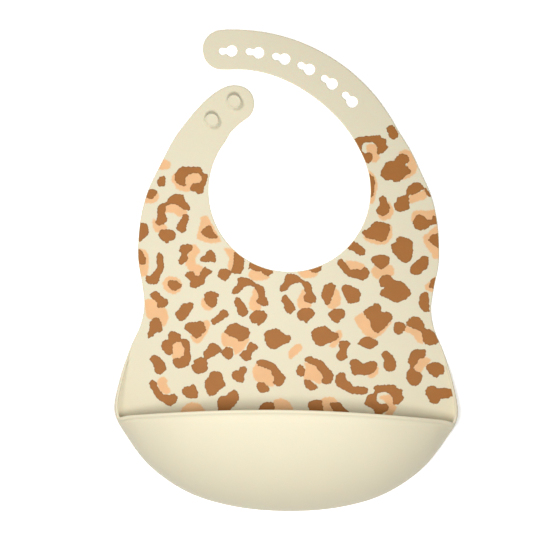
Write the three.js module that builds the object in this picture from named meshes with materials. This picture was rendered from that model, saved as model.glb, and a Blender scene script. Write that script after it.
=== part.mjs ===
// A baby's silicone bib with a catch pocket, a stud strap and a keyhole strap.
//
// Frame, in millimetres: the bib lies on its back on the plane z = 0, its front facing +Z,
// its neck end towards +Y and its pocket towards -Y. The origin is under the middle of the bib.
//
// The real bib is one moulding. Each feature that bends apart from its neighbour is a solid of
// its own here, with a narrow slot across the sheet where the silicone would bend.

import * as THREE from 'three';

// Driving dimensions
const HALF_LENGTH = 155.5;        // origin to the pocket's bottom edge, and to the long strap's outer edge
const HALF_WIDTH = 111;           // origin to the pocket's corners
const SHEET = 2;                  // thickness of the sheet, straps and walls
const CLEARANCE = 0.3;            // gap between solids that are one moulding in the real bib
const NECK_CENTRE = [0, 51.6];
const NECK_RADIUS = 52.3;

// The long strap is an arc that leaves the neck circle where the two arcs touch.
const LONG_STRAP_LEAVES_AT = radians(23);
const LONG_STRAP_INNER = 91.2;
const LONG_STRAP_CENTRE = [
  NECK_CENTRE[0] - (LONG_STRAP_INNER - NECK_RADIUS) * Math.cos(LONG_STRAP_LEAVES_AT),
  NECK_CENTRE[1] - (LONG_STRAP_INNER - NECK_RADIUS) * Math.sin(LONG_STRAP_LEAVES_AT),
];
const LONG_STRAP_OUTER = HALF_LENGTH - LONG_STRAP_CENTRE[1];
const LONG_STRAP_TIP_AT = radians(94.6);
const LONG_STRAP_BENDS = [37.2, 50.2, 69.15, 88.1].map(radians);

// The short strap runs round the neck circle.
const SHORT_STRAP_OUTER = 79.8;
const SHORT_STRAP_TIP_AT = radians(122.3);
const SHORT_STRAP_BENDS = [158, 147.7].map(radians);

// Keyholes: a large round hole that a stud enters, and a small one that holds its neck.
const KEYHOLE_COUNT = 6;
const FIRST_KEYHOLE_AT = radians(44.2);
const KEYHOLE_PITCH = radians(9.48);
const KEYHOLE_LARGE_RADIUS = 3.7;
const KEYHOLE_SMALL_RADIUS = 2.4;
const KEYHOLE_OFFSET = 6;         // from the large hole's centre to the small one's

// Studs, on a circle round the neck
const STUD_CIRCLE_RADIUS = 67.6;
const FIRST_STUD_AT = radians(122.8);
const STUD_PITCH = radians(15.9);
const STUD_FLANGE_RADIUS = 5.8;
const STUD_FLANGE_HEIGHT = 0.8;
const STUD_NECK_RADIUS = 2.6;
const STUD_NECK_HEIGHT = 2.3;
const STUD_HEAD_RADIUS = 4.5;
const STUD_HEAD_HEIGHT = 1.9;

// Slots where the moulding bends. A flat-ended slot stays open to t * tan(angle / 2).
const WAIST_Y = -24;
const WAIST_SLOT = 2.6;
const STRAP_SLOT = 1;

// Pocket
const CORNER = [110.2, -95];      // where the pocket's lip meets the edge of the sheet
const LIP_CENTRE_Y = -90.3;
const LIP_END_Y = -97.6;
const LIP_HEIGHT = 40;            // above the table, at the middle of the lip
const CORNER_HEIGHT = 15;         // above the table, at the pocket's corners
const LIP_FULLNESS = 3.2;         // how near to the corners the lip stays high
const LIP_BEAD_RADIUS = 1.2;
const RIM_START_Y = -34;          // the side rims rise from here down to the corners
const RIM_START_HEIGHT = 0.6;
const RIM_STEEPNESS = 3;          // how near to the corners the rims do their rising

// Fineness of the facets
const ARC_STEP = radians(3);
const EDGE_STEP = 3;
const WALL_COLUMNS = 44;
const WALL_ROWS = 9;
const RIM_STATIONS = 14;

// Half of the symmetrical outer edge, from the middle of the bottom up to the shoulder.
const HALF_EDGE = [
  [0, -HALF_LENGTH],
  [36, -152.3],
  [64, -143.5],
  [88, -127],
  [103, -108],
  CORNER,
  [HALF_WIDTH, -88],
  [107.4, -70],
  [100.8, -50],
  [94.8, -36],
  [92.8, -24],
  [94.2, -11],
  [97, 4],
  [97.4, 14],
  [96, 32],
  [92, 49],
  [85, 64.6],
  [77.9, 79],
];

// Where the outer edge runs into each strap: angles on the long strap's outer arc, and
// angles with their radii round the neck on the short strap, which draws in slightly.
const LONG_EDGE_JOINS = [28, 32].map(radians);
const SHORT_EDGE_JOINS = [[radians(155), 81.6], [radians(150), 80.6], [radians(145), 80]];

const SILICONE = { color: 0xe6dcc2, roughness: 0.6, metalness: 0 };
const PRINTED_SILICONE = { color: 0xdcc49c, roughness: 0.6, metalness: 0 };
const STRAP_SILICONE = { color: 0xe2d9be, roughness: 0.6, metalness: 0 };

function radians(degrees) {
  return degrees * Math.PI / 180;
}

function polar(centre, radius, angle) {
  return new THREE.Vector2(centre[0] + radius * Math.cos(angle), centre[1] + radius * Math.sin(angle));
}

function arc(centre, radius, from, to) {
  const steps = Math.max(1, Math.ceil(Math.abs(to - from) / ARC_STEP));
  const points = [];
  for (let i = 0; i <= steps; i += 1) {
    points.push(polar(centre, radius, from + (to - from) * i / steps));
  }
  return points;
}

// A smooth curve through the given points, as a list of points about EDGE_STEP apart.
function smoothEdge(points) {
  const curve = new THREE.CatmullRomCurve3(points.map(([x, y]) => new THREE.Vector3(x, y, 0)));
  const steps = Math.round(curve.getLength() / EDGE_STEP);
  return curve.getSpacedPoints(steps).map((p) => new THREE.Vector2(p.x, p.y));
}

// The outer edge on the long strap's side, carried on to where that strap begins to bend.
function longSideEdge() {
  const join = LONG_EDGE_JOINS.map((angle) => polar(LONG_STRAP_CENTRE, LONG_STRAP_OUTER, angle).toArray());
  return smoothEdge([...HALF_EDGE, ...join]);
}

// The outer edge on the short strap's side, mirrored, carried on round the neck.
function shortSideEdge() {
  const mirrored = HALF_EDGE.map(([x, y]) => [-x, y]);
  const join = SHORT_EDGE_JOINS.map(([angle, radius]) => polar(NECK_CENTRE, radius, angle).toArray());
  return smoothEdge([...mirrored, ...join]);
}

function sheetSolid(points, holes = []) {
  const shape = new THREE.Shape(points);
  shape.holes = holes;
  return new THREE.ExtrudeGeometry(shape, { depth: SHEET, bevelEnabled: false });
}

// The angle that half a slot takes up at the middle of a strap.
function halfSlotAngle(innerRadius, outerRadius) {
  return STRAP_SLOT / (innerRadius + outerRadius);
}

// The chest: from the waist up to the first bend of each strap, round the neck.
function chestPanel() {
  const longSlot = halfSlotAngle(LONG_STRAP_INNER, LONG_STRAP_OUTER);
  const shortSlot = halfSlotAngle(NECK_RADIUS, SHORT_STRAP_OUTER);
  const longEnd = LONG_STRAP_BENDS[0] - longSlot;
  const shortEnd = SHORT_STRAP_BENDS[0] + shortSlot;
  const aboveWaist = (p) => p.y > WAIST_Y + WAIST_SLOT / 2 + 0.5;
  const rightEdge = longSideEdge().filter(aboveWaist);
  const outerArcStart = LONG_EDGE_JOINS[1] + ARC_STEP / 2;
  const leftEdge = shortSideEdge().filter((p) => aboveWaist(p) && angleRoundNeck(p) > shortEnd + 0.02);
  const waist = WAIST_Y + WAIST_SLOT / 2;
  return sheetSolid([
    new THREE.Vector2(-edgeHalfWidth(waist), waist),
    new THREE.Vector2(edgeHalfWidth(waist), waist),
    ...rightEdge,
    ...arc(LONG_STRAP_CENTRE, LONG_STRAP_OUTER, outerArcStart, longEnd),
    ...arc(LONG_STRAP_CENTRE, LONG_STRAP_INNER, longEnd, LONG_STRAP_LEAVES_AT),
    ...arc(NECK_CENTRE, NECK_RADIUS, LONG_STRAP_LEAVES_AT - ARC_STEP, shortEnd - 2 * Math.PI),
    polar(NECK_CENTRE, shortOuterRadius(shortEnd), shortEnd),
    ...leftEdge.reverse(),
  ]);
}

function angleRoundNeck(point) {
  const angle = Math.atan2(point.y - NECK_CENTRE[1], point.x - NECK_CENTRE[0]);
  return angle < -Math.PI / 2 ? angle + 2 * Math.PI : angle;
}

// The short strap's outer edge is not quite round: it draws in as it leaves the shoulder.
function shortOuterRadius(angle) {
  const edge = shortSideEdge();
  const past = edge.filter((p) => p.y > NECK_CENTRE[1] && angleRoundNeck(p) <= angle);
  const found = past[0];
  return found ? Math.hypot(found.x - NECK_CENTRE[0], found.y - NECK_CENTRE[1]) : SHORT_STRAP_OUTER;
}

function edgeHalfWidth(y) {
  const edge = longSideEdge();
  const above = edge.findIndex((p) => p.y > y);
  const a = edge[above - 1];
  const b = edge[above];
  return a.x + (b.x - a.x) * (y - a.y) / (b.y - a.y);
}

// The sheet below the waist, which is also the pocket's back.
function lowerPanel() {
  const waist = WAIST_Y - WAIST_SLOT / 2;
  const half = longSideEdge().filter((p) => p.y < waist - 0.5);
  const mirrored = half.slice(1).map((p) => new THREE.Vector2(-p.x, p.y));
  return sheetSolid([
    ...half,
    new THREE.Vector2(edgeHalfWidth(waist), waist),
    new THREE.Vector2(-edgeHalfWidth(waist), waist),
    ...mirrored.reverse(),
  ]);
}

// One keyhole, its small end towards the strap's tip.
function keyhole(angle) {
  const middle = (LONG_STRAP_INNER + LONG_STRAP_OUTER) / 2;
  const large = polar(LONG_STRAP_CENTRE, middle, angle);
  const small = polar(LONG_STRAP_CENTRE, middle, angle + KEYHOLE_OFFSET / middle);
  const towards = Math.atan2(small.y - large.y, small.x - large.x);
  const neckHalf = KEYHOLE_SMALL_RADIUS * 0.8;
  const largeOpen = Math.asin(neckHalf / KEYHOLE_LARGE_RADIUS);
  const smallOpen = Math.asin(neckHalf / KEYHOLE_SMALL_RADIUS);
  const steps = 14;
  const points = [];
  for (let i = 0; i <= steps; i += 1) {
    const sweep = largeOpen + (2 * Math.PI - 2 * largeOpen) * i / steps;
    points.push(polar(large.toArray(), KEYHOLE_LARGE_RADIUS, towards + sweep));
  }
  for (let i = 0; i <= steps; i += 1) {
    const sweep = Math.PI + smallOpen + (2 * Math.PI - 2 * smallOpen) * i / steps;
    points.push(polar(small.toArray(), KEYHOLE_SMALL_RADIUS, towards + sweep));
  }
  return new THREE.Path(points);
}

function keyholesBetween(from, to) {
  const holes = [];
  for (let i = 0; i < KEYHOLE_COUNT; i += 1) {
    const angle = FIRST_KEYHOLE_AT + i * KEYHOLE_PITCH;
    if (angle > from && angle < to) {
      holes.push(keyhole(angle));
    }
  }
  return holes;
}

// A length of strap round a centre, with a round end where it is the tip.
// Turn is +1 where the tip is further round counter-clockwise, and -1 where it is clockwise.
function strapLength(centre, inner, outer, from, to, turn, isTip, holes) {
  const slot = halfSlotAngle(inner, outer) * turn;
  const start = from + slot;
  const end = isTip ? to : to - slot;
  const middle = (inner + outer) / 2;
  const half = (outer - inner) / 2;
  const roundEnd = isTip ? tipArc(polar(centre, middle, to).toArray(), half, to, turn) : [];
  return sheetSolid([
    ...arc(centre, outer, start, end),
    ...roundEnd,
    ...arc(centre, inner, end, start),
  ], holes);
}

// The half circle that closes a strap, without its two end points, which the edges hold.
function tipArc(centre, radius, angle, turn) {
  const steps = 14;
  const points = [];
  for (let i = 1; i < steps; i += 1) {
    points.push(polar(centre, radius, angle + turn * Math.PI * i / steps));
  }
  return points;
}

function longStrapLength(index) {
  const isTip = index === LONG_STRAP_BENDS.length - 1;
  const from = LONG_STRAP_BENDS[index];
  const to = isTip ? LONG_STRAP_TIP_AT : LONG_STRAP_BENDS[index + 1];
  const holes = keyholesBetween(from, isTip ? Math.PI : to);
  return strapLength(LONG_STRAP_CENTRE, LONG_STRAP_INNER, LONG_STRAP_OUTER, from, to, 1, isTip, holes);
}

function shortStrapLength(index) {
  const isTip = index === SHORT_STRAP_BENDS.length - 1;
  const from = SHORT_STRAP_BENDS[index];
  const to = isTip ? SHORT_STRAP_TIP_AT : SHORT_STRAP_BENDS[index + 1];
  return strapLength(NECK_CENTRE, NECK_RADIUS, SHORT_STRAP_OUTER, from, to, -1, isTip, []);
}

// A mushroom stud: a flange on the strap, a neck as long as the strap is thick, and a head.
function stud() {
  const neckTop = STUD_FLANGE_HEIGHT + STUD_NECK_HEIGHT;
  const top = neckTop + STUD_HEAD_HEIGHT;
  const edge = 0.5;
  const profile = [
    [0, 0],
    [STUD_FLANGE_RADIUS, 0],
    [STUD_FLANGE_RADIUS - edge, STUD_FLANGE_HEIGHT],
    [STUD_NECK_RADIUS, STUD_FLANGE_HEIGHT],
    [STUD_NECK_RADIUS, neckTop],
    [STUD_HEAD_RADIUS - edge, neckTop],
    [STUD_HEAD_RADIUS, neckTop + edge],
    [STUD_HEAD_RADIUS, top - edge],
    [STUD_HEAD_RADIUS - edge, top],
    [0, top],
  ];
  const geometry = new THREE.LatheGeometry(profile.map(([r, z]) => new THREE.Vector2(r, z)), 24);
  return geometry.rotateX(Math.PI / 2);
}

// Height and place of the pocket's lip, for a place across the bib from -1 to 1.
function lipPoint(across) {
  return new THREE.Vector3(
    across * CORNER[0],
    LIP_CENTRE_Y + (LIP_END_Y - LIP_CENTRE_Y) * across * across,
    LIP_HEIGHT + (CORNER_HEIGHT - LIP_HEIGHT) * Math.abs(across) ** LIP_FULLNESS,
  );
}

// The pocket's outer wall rises steeply from the edge of the sheet and lies down at the lip.
function wallPoint(bottomCurve, along, up) {
  const foot = bottomCurve.getPointAt(along);
  const lip = lipPoint(-Math.cos(Math.PI * along));
  const lean = 1 - Math.cos(up * Math.PI / 2);
  const rise = Math.sin(up * Math.PI / 2);
  const base = SHEET + CLEARANCE;
  return new THREE.Vector3(
    foot.x + (lip.x - foot.x) * lean,
    foot.y + (lip.y - foot.y) * lean,
    base + (lip.z - base) * rise,
  );
}

function pocketWall() {
  const half = HALF_EDGE.slice(0, HALF_EDGE.indexOf(CORNER) + 1);
  const left = half.slice(1).map(([x, y]) => [-x, y]).reverse();
  const curve = new THREE.CatmullRomCurve3([...left, ...half].map(([x, y]) => new THREE.Vector3(x, y, 0)));
  const outside = [];
  const inside = [];
  for (let i = 0; i <= WALL_COLUMNS; i += 1) {
    const outsideColumn = [];
    const insideColumn = [];
    for (let j = 0; j <= WALL_ROWS; j += 1) {
      const along = i / WALL_COLUMNS;
      const up = j / WALL_ROWS;
      const point = wallPoint(curve, along, up);
      const isCorner = i === 0 || i === WALL_COLUMNS;
      const normal = surfaceNormal((a, b) => wallPoint(curve, a, b), along, isCorner ? 0 : up);
      outsideColumn.push(point);
      insideColumn.push(point.clone().addScaledVector(normal, -SHEET));
    }
    insideColumn[0].z = outsideColumn[0].z;
    outside.push(outsideColumn);
    inside.push(insideColumn);
  }
  return shellSolid(outside, inside);
}

// The direction away from the pocket's inside, at a place on its wall.
function surfaceNormal(surface, along, up) {
  const step = 0.004;
  const a0 = Math.max(0, along - step);
  const a1 = Math.min(1, along + step);
  const b0 = Math.max(0, up - step);
  const b1 = Math.min(1, up + step);
  const across = surface(a1, up).sub(surface(a0, up));
  const rising = surface(along, b1).sub(surface(along, b0));
  return across.cross(rising).normalize();
}

// A closed solid between two grids of points that face each other.
function shellSolid(outside, inside) {
  const columns = outside.length;
  const rows = outside[0].length;
  const positions = [];
  const indices = [];
  for (const grid of [outside, inside]) {
    for (const column of grid) {
      column.forEach((p) => positions.push(p.x, p.y, p.z));
    }
  }
  const out = (i, j) => i * rows + j;
  const inn = (i, j) => columns * rows + i * rows + j;
  const quad = (a, b, c, d) => indices.push(a, b, c, a, c, d);
  for (let i = 0; i + 1 < columns; i += 1) {
    for (let j = 0; j + 1 < rows; j += 1) {
      quad(out(i, j), out(i + 1, j), out(i + 1, j + 1), out(i, j + 1));
      quad(inn(i, j), inn(i, j + 1), inn(i + 1, j + 1), inn(i + 1, j));
    }
    const last = rows - 1;
    quad(out(i, 0), inn(i, 0), inn(i + 1, 0), out(i + 1, 0));
    quad(out(i, last), out(i + 1, last), inn(i + 1, last), inn(i, last));
  }
  for (let j = 0; j + 1 < rows; j += 1) {
    const last = columns - 1;
    quad(out(0, j), out(0, j + 1), inn(0, j + 1), inn(0, j));
    quad(out(last, j), inn(last, j), inn(last, j + 1), out(last, j + 1));
  }
  const geometry = new THREE.BufferGeometry();
  geometry.setAttribute('position', new THREE.Float32BufferAttribute(positions, 3));
  geometry.setIndex(indices);
  return geometry;
}

// The bead along the lip lies against the wall's upper edge.
function lipBead() {
  const points = [];
  const stations = 24;
  const endInset = 0.96;
  for (let i = 0; i <= stations; i += 1) {
    const p = lipPoint(endInset * (2 * i / stations - 1));
    points.push(new THREE.Vector3(p.x, p.y + LIP_BEAD_RADIUS + CLEARANCE, p.z - SHEET / 2));
  }
  const sides = 8;
  const section = new THREE.Shape(arc([0, 0], LIP_BEAD_RADIUS, 0, 2 * Math.PI)
    .filter((p, i) => i % Math.round(2 * Math.PI / ARC_STEP / sides) === 0).slice(0, sides));
  return new THREE.ExtrudeGeometry(section, {
    steps: 48,
    bevelEnabled: false,
    extrudePath: new THREE.CatmullRomCurve3(points),
  });
}

// A side rim stands on the edge of the sheet and grows from nothing down to the pocket's corner.
function sideRim(side) {
  const edge = new THREE.CatmullRomCurve3(HALF_EDGE.map(([x, y]) => new THREE.Vector3(x, y, 0)));
  const fromCorner = findAlong(edge, CORNER[1] + 1.2);
  const toStart = findAlong(edge, RIM_START_Y);
  const base = SHEET + CLEARANCE;
  const outside = [];
  const inside = [];
  for (let i = 0; i <= RIM_STATIONS; i += 1) {
    const t = i / RIM_STATIONS;
    const along = fromCorner + (toStart - fromCorner) * t;
    const p = edge.getPointAt(along);
    const tangent = edge.getTangentAt(along);
    const fall = (1 - t) ** RIM_STEEPNESS;
    const top = base + RIM_START_HEIGHT + (CORNER_HEIGHT - base - RIM_START_HEIGHT) * fall;
    const inwards = new THREE.Vector3(-tangent.y, tangent.x, 0).multiplyScalar(SHEET);
    const foot = new THREE.Vector3(p.x, p.y, base);
    const head = new THREE.Vector3(p.x, p.y, top);
    outside.push([foot, head]);
    inside.push([foot.clone().add(inwards), head.clone().add(inwards)]);
  }
  const geometry = shellSolid(outside, inside);
  return side > 0 ? geometry : mirrorAcross(geometry);
}

function findAlong(curve, y) {
  const steps = 2000;
  for (let i = 0; i <= steps; i += 1) {
    const p = curve.getPointAt(i / steps);
    if (p.x > HALF_WIDTH / 2 && p.y >= y) {
      return i / steps;
    }
  }
  throw new Error('the edge never reaches y = ' + y);
}

// A mirrored copy, with its faces turned so that they still point out.
function mirrorAcross(geometry) {
  const mirrored = geometry.clone().scale(-1, 1, 1);
  const index = Array.from(mirrored.getIndex().array);
  for (let i = 0; i < index.length; i += 3) {
    [index[i + 1], index[i + 2]] = [index[i + 2], index[i + 1]];
  }
  mirrored.setIndex(index);
  return mirrored;
}

function addMesh(group, name, geometry, finish) {
  const mesh = new THREE.Mesh(geometry, new THREE.MeshStandardMaterial(finish));
  mesh.name = name;
  group.add(mesh);
  return mesh;
}

function addStuds(group) {
  ['stud_end', 'stud_inner'].forEach((name, i) => {
    const place = polar(NECK_CENTRE, STUD_CIRCLE_RADIUS, FIRST_STUD_AT + i * STUD_PITCH);
    const mesh = addMesh(group, name, stud(), STRAP_SILICONE);
    mesh.position.set(place.x, place.y, SHEET + CLEARANCE);
  });
}

const bib = new THREE.Group();
addMesh(bib, 'lower_panel', lowerPanel(), PRINTED_SILICONE);
addMesh(bib, 'pocket_wall', pocketWall(), SILICONE);
addMesh(bib, 'pocket_lip_bead', lipBead(), SILICONE);
addMesh(bib, 'right_side_rim', sideRim(1), SILICONE);
addMesh(bib, 'left_side_rim', sideRim(-1), SILICONE);
addMesh(bib, 'chest_panel', chestPanel(), PRINTED_SILICONE);
for (let i = 0; i < LONG_STRAP_BENDS.length; i += 1) {
  addMesh(bib, `keyhole_strap_${i + 1}`, longStrapLength(i), STRAP_SILICONE);
}
for (let i = 0; i < SHORT_STRAP_BENDS.length; i += 1) {
  addMesh(bib, `stud_strap_${i + 1}`, shortStrapLength(i), STRAP_SILICONE);
}
addStuds(bib);

export default bib;
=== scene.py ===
"""A baby's bib in moulded silicone: a printed sheet with a catch pocket, a strap with keyholes
and a strap with studs, lying on a pale table under soft light."""

import math
from collections import Counter
from itertools import combinations

import bmesh
import bpy
import numpy as np
from mathutils import Matrix, Vector, geometry


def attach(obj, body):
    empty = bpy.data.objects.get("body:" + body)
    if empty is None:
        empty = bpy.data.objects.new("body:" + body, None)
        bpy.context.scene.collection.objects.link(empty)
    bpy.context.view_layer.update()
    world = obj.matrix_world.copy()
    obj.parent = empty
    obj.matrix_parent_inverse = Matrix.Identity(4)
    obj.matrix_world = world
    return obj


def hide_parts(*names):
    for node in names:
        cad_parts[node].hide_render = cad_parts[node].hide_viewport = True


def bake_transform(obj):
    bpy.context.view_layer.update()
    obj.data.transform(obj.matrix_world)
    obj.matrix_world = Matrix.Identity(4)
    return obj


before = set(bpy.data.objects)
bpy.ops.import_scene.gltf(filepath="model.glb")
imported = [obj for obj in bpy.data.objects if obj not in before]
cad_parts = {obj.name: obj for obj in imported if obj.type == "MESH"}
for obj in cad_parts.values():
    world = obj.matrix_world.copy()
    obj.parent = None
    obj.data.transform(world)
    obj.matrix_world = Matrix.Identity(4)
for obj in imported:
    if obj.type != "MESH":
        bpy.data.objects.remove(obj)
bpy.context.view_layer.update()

bl_info = {
    "name": "Silicone Bib",
    "version": (1, 0, 0),
    "blender": (4, 5, 0),
    "location": "View3D > Sidebar > Bib",
    "description": "Builds a moulded silicone bib with a catch pocket, straps and a printed front",
    "category": "Add Mesh",
}

# Lengths in this file are millimetres, and are turned to metres as a mesh is made.
MM = 0.001

# The outline, as the moulding's tool is cut. Angles are in degrees.
SHEET = 2.0
EDGE_SPACING = 0.5
NECK_CENTRE = np.array((0.0, 51.6))
NECK_RADIUS = 52.3
LONG_LEAVES_AT = 23.0
LONG_INNER = 91.2
LONG_TIP_INNER = 93.3
HALF_LENGTH = 155.5
CORNER = (110.2, -95.0)
HALF_EDGE = (
    (0, -HALF_LENGTH), (36, -152.3), (64, -143.5), (88, -127), (103, -108), CORNER, (111, -88),
    (107.4, -70), (100.8, -50), (94.8, -36), (92.8, -24), (94.2, -11), (97, 4), (97.4, 14), (96, 32),
    (92, 49), (85, 64.6), (77.9, 79),
)
# The short strap's outer edge: angle and radius round the neck, from its tip to the shoulder.
SHORT_EDGE = (
    (119.5, 77.8), (123.2, 79.2), (128.5, 79.7), (134, 79.8), (140, 79.8), (145, 80), (150, 80.6),
    (155, 81.6),
)
SHORT_TIP_AT = 122.2
SHORT_TIP_ROUND = 66.1
SHORT_TIP_RADIUS = 11.8
# A shallow notch in the short strap's inner edge, just before its tip.
SHORT_NOTCH = ((-38.4, 89.0), (-34.3, 93.2), (-30.7, 96.3))
LONG_TIP_AT = 94.8

# Where the pieces meet, in the middle of lengths that stay straight when the straps bend, and how
# far the bend reaches to each side of its hinge.
LONG_SEAMS = (32.5, 41.3, 59.65, 78.6)
SHORT_SEAMS = (164.0, 152.0)
LONG_BENDS = (37.2, 50.2, 69.15, 88.1)
SHORT_BENDS = (158.0, 147.7)
LONG_BEND_REACHES = (6.2, 13.0, 14.5, 14.5)
SHORT_BEND_REACHES = (5.4, 3.8)

# Keyholes: a large hole for a stud's head and a small one for its neck, with a waist between.
KEYHOLES = 6
FIRST_KEYHOLE_AT = 44.2
KEYHOLE_PITCH = 9.48
KEYHOLE_LARGE = 3.7
KEYHOLE_SMALL = 2.35
KEYHOLE_NECK = 1.8
KEYHOLE_OFFSET = 6.0
KEYHOLE_NECK_SHARE = 0.6
# Each circle's arc from its own middle: the first angle, the last angle and the points drawn.
KEYHOLE_LARGE_ARC = (60, 300, 11)
KEYHOLE_SMALL_ARC = (-108, 108, 7)
KEYHOLE_CURVE_SPACING = 0.45

# Pocket and side rims
LIP_CENTRE_Y = -90.3
LIP_END_Y = -97.6
LIP_HEIGHT = 38.6
LIP_FULLNESS = 3.2
CORNER_HEIGHT = 15.0
RIM_RISE = 3.0
RIM_LEAN = 0.11
RIM_START_Y = -30.0
RIM_END_Y = -93.0
LIP_TURN = 0.963
LIP_EVENNESS = 0.45
LIP_POINTS = 41
LIP_SPACING = 0.3
CORNER_SQUARENESS = 0.42
WALL_HALF = 1.0
RIM_HALF = 0.75
BEAD_RADIUS = 1.25
RIM_BEAD_RADIUS = 0.88
FLOOR_FILLET = 3.4
RIM_FILLET = 0.9
FILLET_SHARE = 0.42
# How far over the rims and the pocket's wall lean at their tops.
RIM_TURN = 8.0
POCKET_TURN = 84.0
# Where the wall changes from a rim's to the pocket's, as shares of the bottom edge from a corner.
STOUT_WITHIN = 0.06
TURN_FROM = 0.005
TURN_WITHIN = 0.12
# A rim this high is all rim, and a lower one is mixed with the sheet's plain edge.
FULL_RIM = 2.2


def polar(centre, radius, degrees):
    """A point at a radius and an angle from a centre."""
    angle = math.radians(degrees)
    return np.array((centre[0] + radius * math.cos(angle), centre[1] + radius * math.sin(angle)))


LONG_CENTRE = polar(NECK_CENTRE, LONG_INNER - NECK_RADIUS, LONG_LEAVES_AT + 180)
LONG_OUTER = HALF_LENGTH - LONG_CENTRE[1]
LONG_MIDDLE = (LONG_INNER + LONG_OUTER) / 2
SHORT_OUTER = SHORT_EDGE[-1][1]


def smoothstep(low, high, value):
    """0 below low, 1 above high, and a smooth rise between them."""
    t = np.clip((value - low) / (high - low), 0, 1)
    return t * t * (3 - 2 * t)


# ---------------------------------------------------------------- curves

FINE_STEP = 0.4


def smooth_curve(points, spacing, roundness=1.0):
    """Evenly spaced points on a centripetal spline through the given points.

    With less roundness it runs straighter between them and turns more sharply at them."""
    given = [np.array(p, float) for p in points]
    given = [2 * given[0] - given[1], *given, 2 * given[-1] - given[-2]]
    fine = []
    for before, start, end, after in zip(given, given[1:], given[2:], given[3:]):
        a, b, c = (math.sqrt(np.linalg.norm(v)) for v in (start - before, end - start, after - end))
        leave = ((start - before) / a - (end - before) / (a + b) + (end - start) / b) * b * roundness
        arrive = ((end - start) / b - (after - start) / (b + c) + (after - end) / c) * b * roundness
        steps = max(4, int(b * b / FINE_STEP))
        for t in np.arange(steps) / steps:
            fine.append(
                (2 * t ** 3 - 3 * t * t + 1) * start + (t ** 3 - 2 * t * t + t) * leave
                + (3 * t * t - 2 * t ** 3) * end + (t ** 3 - t * t) * arrive
            )
    fine.append(given[-2])
    return respace(np.array(fine), spacing)


def lengths_along(points):
    """The length of the line from its start to each of its points."""
    return np.concatenate(((0,), np.cumsum(np.linalg.norm(np.diff(points, axis=0), axis=1))))


def respace(points, spacing):
    """The same line with points at an even spacing, its ends kept."""
    lengths = lengths_along(points)
    count = max(2, int(round(lengths[-1] / spacing)) + 1)
    at = np.linspace(0, lengths[-1], count)
    return np.column_stack([np.interp(at, lengths, points[:, i]) for i in range(points.shape[1])])


def angles_round(points, centre):
    """Each point's angle round a centre, from -90 to 270 degrees."""
    angle = np.degrees(np.arctan2(points[:, 1] - centre[1], points[:, 0] - centre[0]))
    return np.where(angle < -90, angle + 360, angle)


def cut_at(points, centre, angle, near):
    """Splits a line where it crosses a ray, at the crossing nearest to a given place."""
    turn = angles_round(points, centre) - angle
    crossings = [
        i for i in range(len(points) - 1)
        if turn[i] * turn[i + 1] <= 0 and abs(turn[i] - turn[i + 1]) < 90
    ]
    best = min(crossings, key=lambda i: np.linalg.norm(points[i] - near))
    share = turn[best] / (turn[best] - turn[best + 1])
    at = points[best] + (points[best + 1] - points[best]) * share
    return np.vstack((points[:best + 1], at)), np.vstack((at, points[best + 1:]))


def short_tip(angles):
    """Points round the short strap's tip."""
    centre = polar(NECK_CENTRE, SHORT_TIP_ROUND, SHORT_TIP_AT)
    return [polar(centre, SHORT_TIP_RADIUS, a) for a in angles]


def long_tip(angles):
    """Points round the long strap's tip."""
    radius = (LONG_OUTER - LONG_TIP_INNER) / 2
    centre = polar(LONG_CENTRE, LONG_OUTER - radius, LONG_TIP_AT)
    return [polar(centre, radius, LONG_TIP_AT + a) for a in angles]


def outer_edge():
    """The outer edge from the short strap's tip, round the bottom, to the long strap's tip."""
    short = [polar(NECK_CENTRE, radius, angle) for angle, radius in SHORT_EDGE]
    left = [(-x, y) for x, y in reversed(HALF_EDGE)]
    arc = [polar(LONG_CENTRE, LONG_OUTER, a) for a in (28, *range(32, 89, 8))]
    points = [*short_tip((0, 30, 58, 82)), *short, *left, *HALF_EDGE[1:], *arc]
    return smooth_curve([*points, *long_tip((0, 22, 45, 68, 90))], EDGE_SPACING)


def inner_edge():
    """The inner edge from the long strap's tip, round the neck, to the short strap's tip."""
    narrowing = LONG_TIP_INNER - LONG_INNER
    arc = [
        polar(LONG_CENTRE, LONG_INNER + narrowing * smoothstep(50, 86, a), a) for a in range(88, 24, -7)
    ]
    neck = [polar(NECK_CENTRE, NECK_RADIUS, a) for a in range(23, -222, -8)]
    points = [*long_tip((90, 112, 135, 158, 180)), *arc, *neck, *SHORT_NOTCH]
    return smooth_curve([*points, *short_tip((-50, -25, 0))], EDGE_SPACING)


def joined_by_seams(first, second):
    """Two edges with a seam from each one's end to the other's start, as a loop's stretches."""
    return [
        (first, False), (np.array((first[-1], second[0])), True),
        (second, False), (np.array((second[-1], first[0])), True),
    ]


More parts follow.
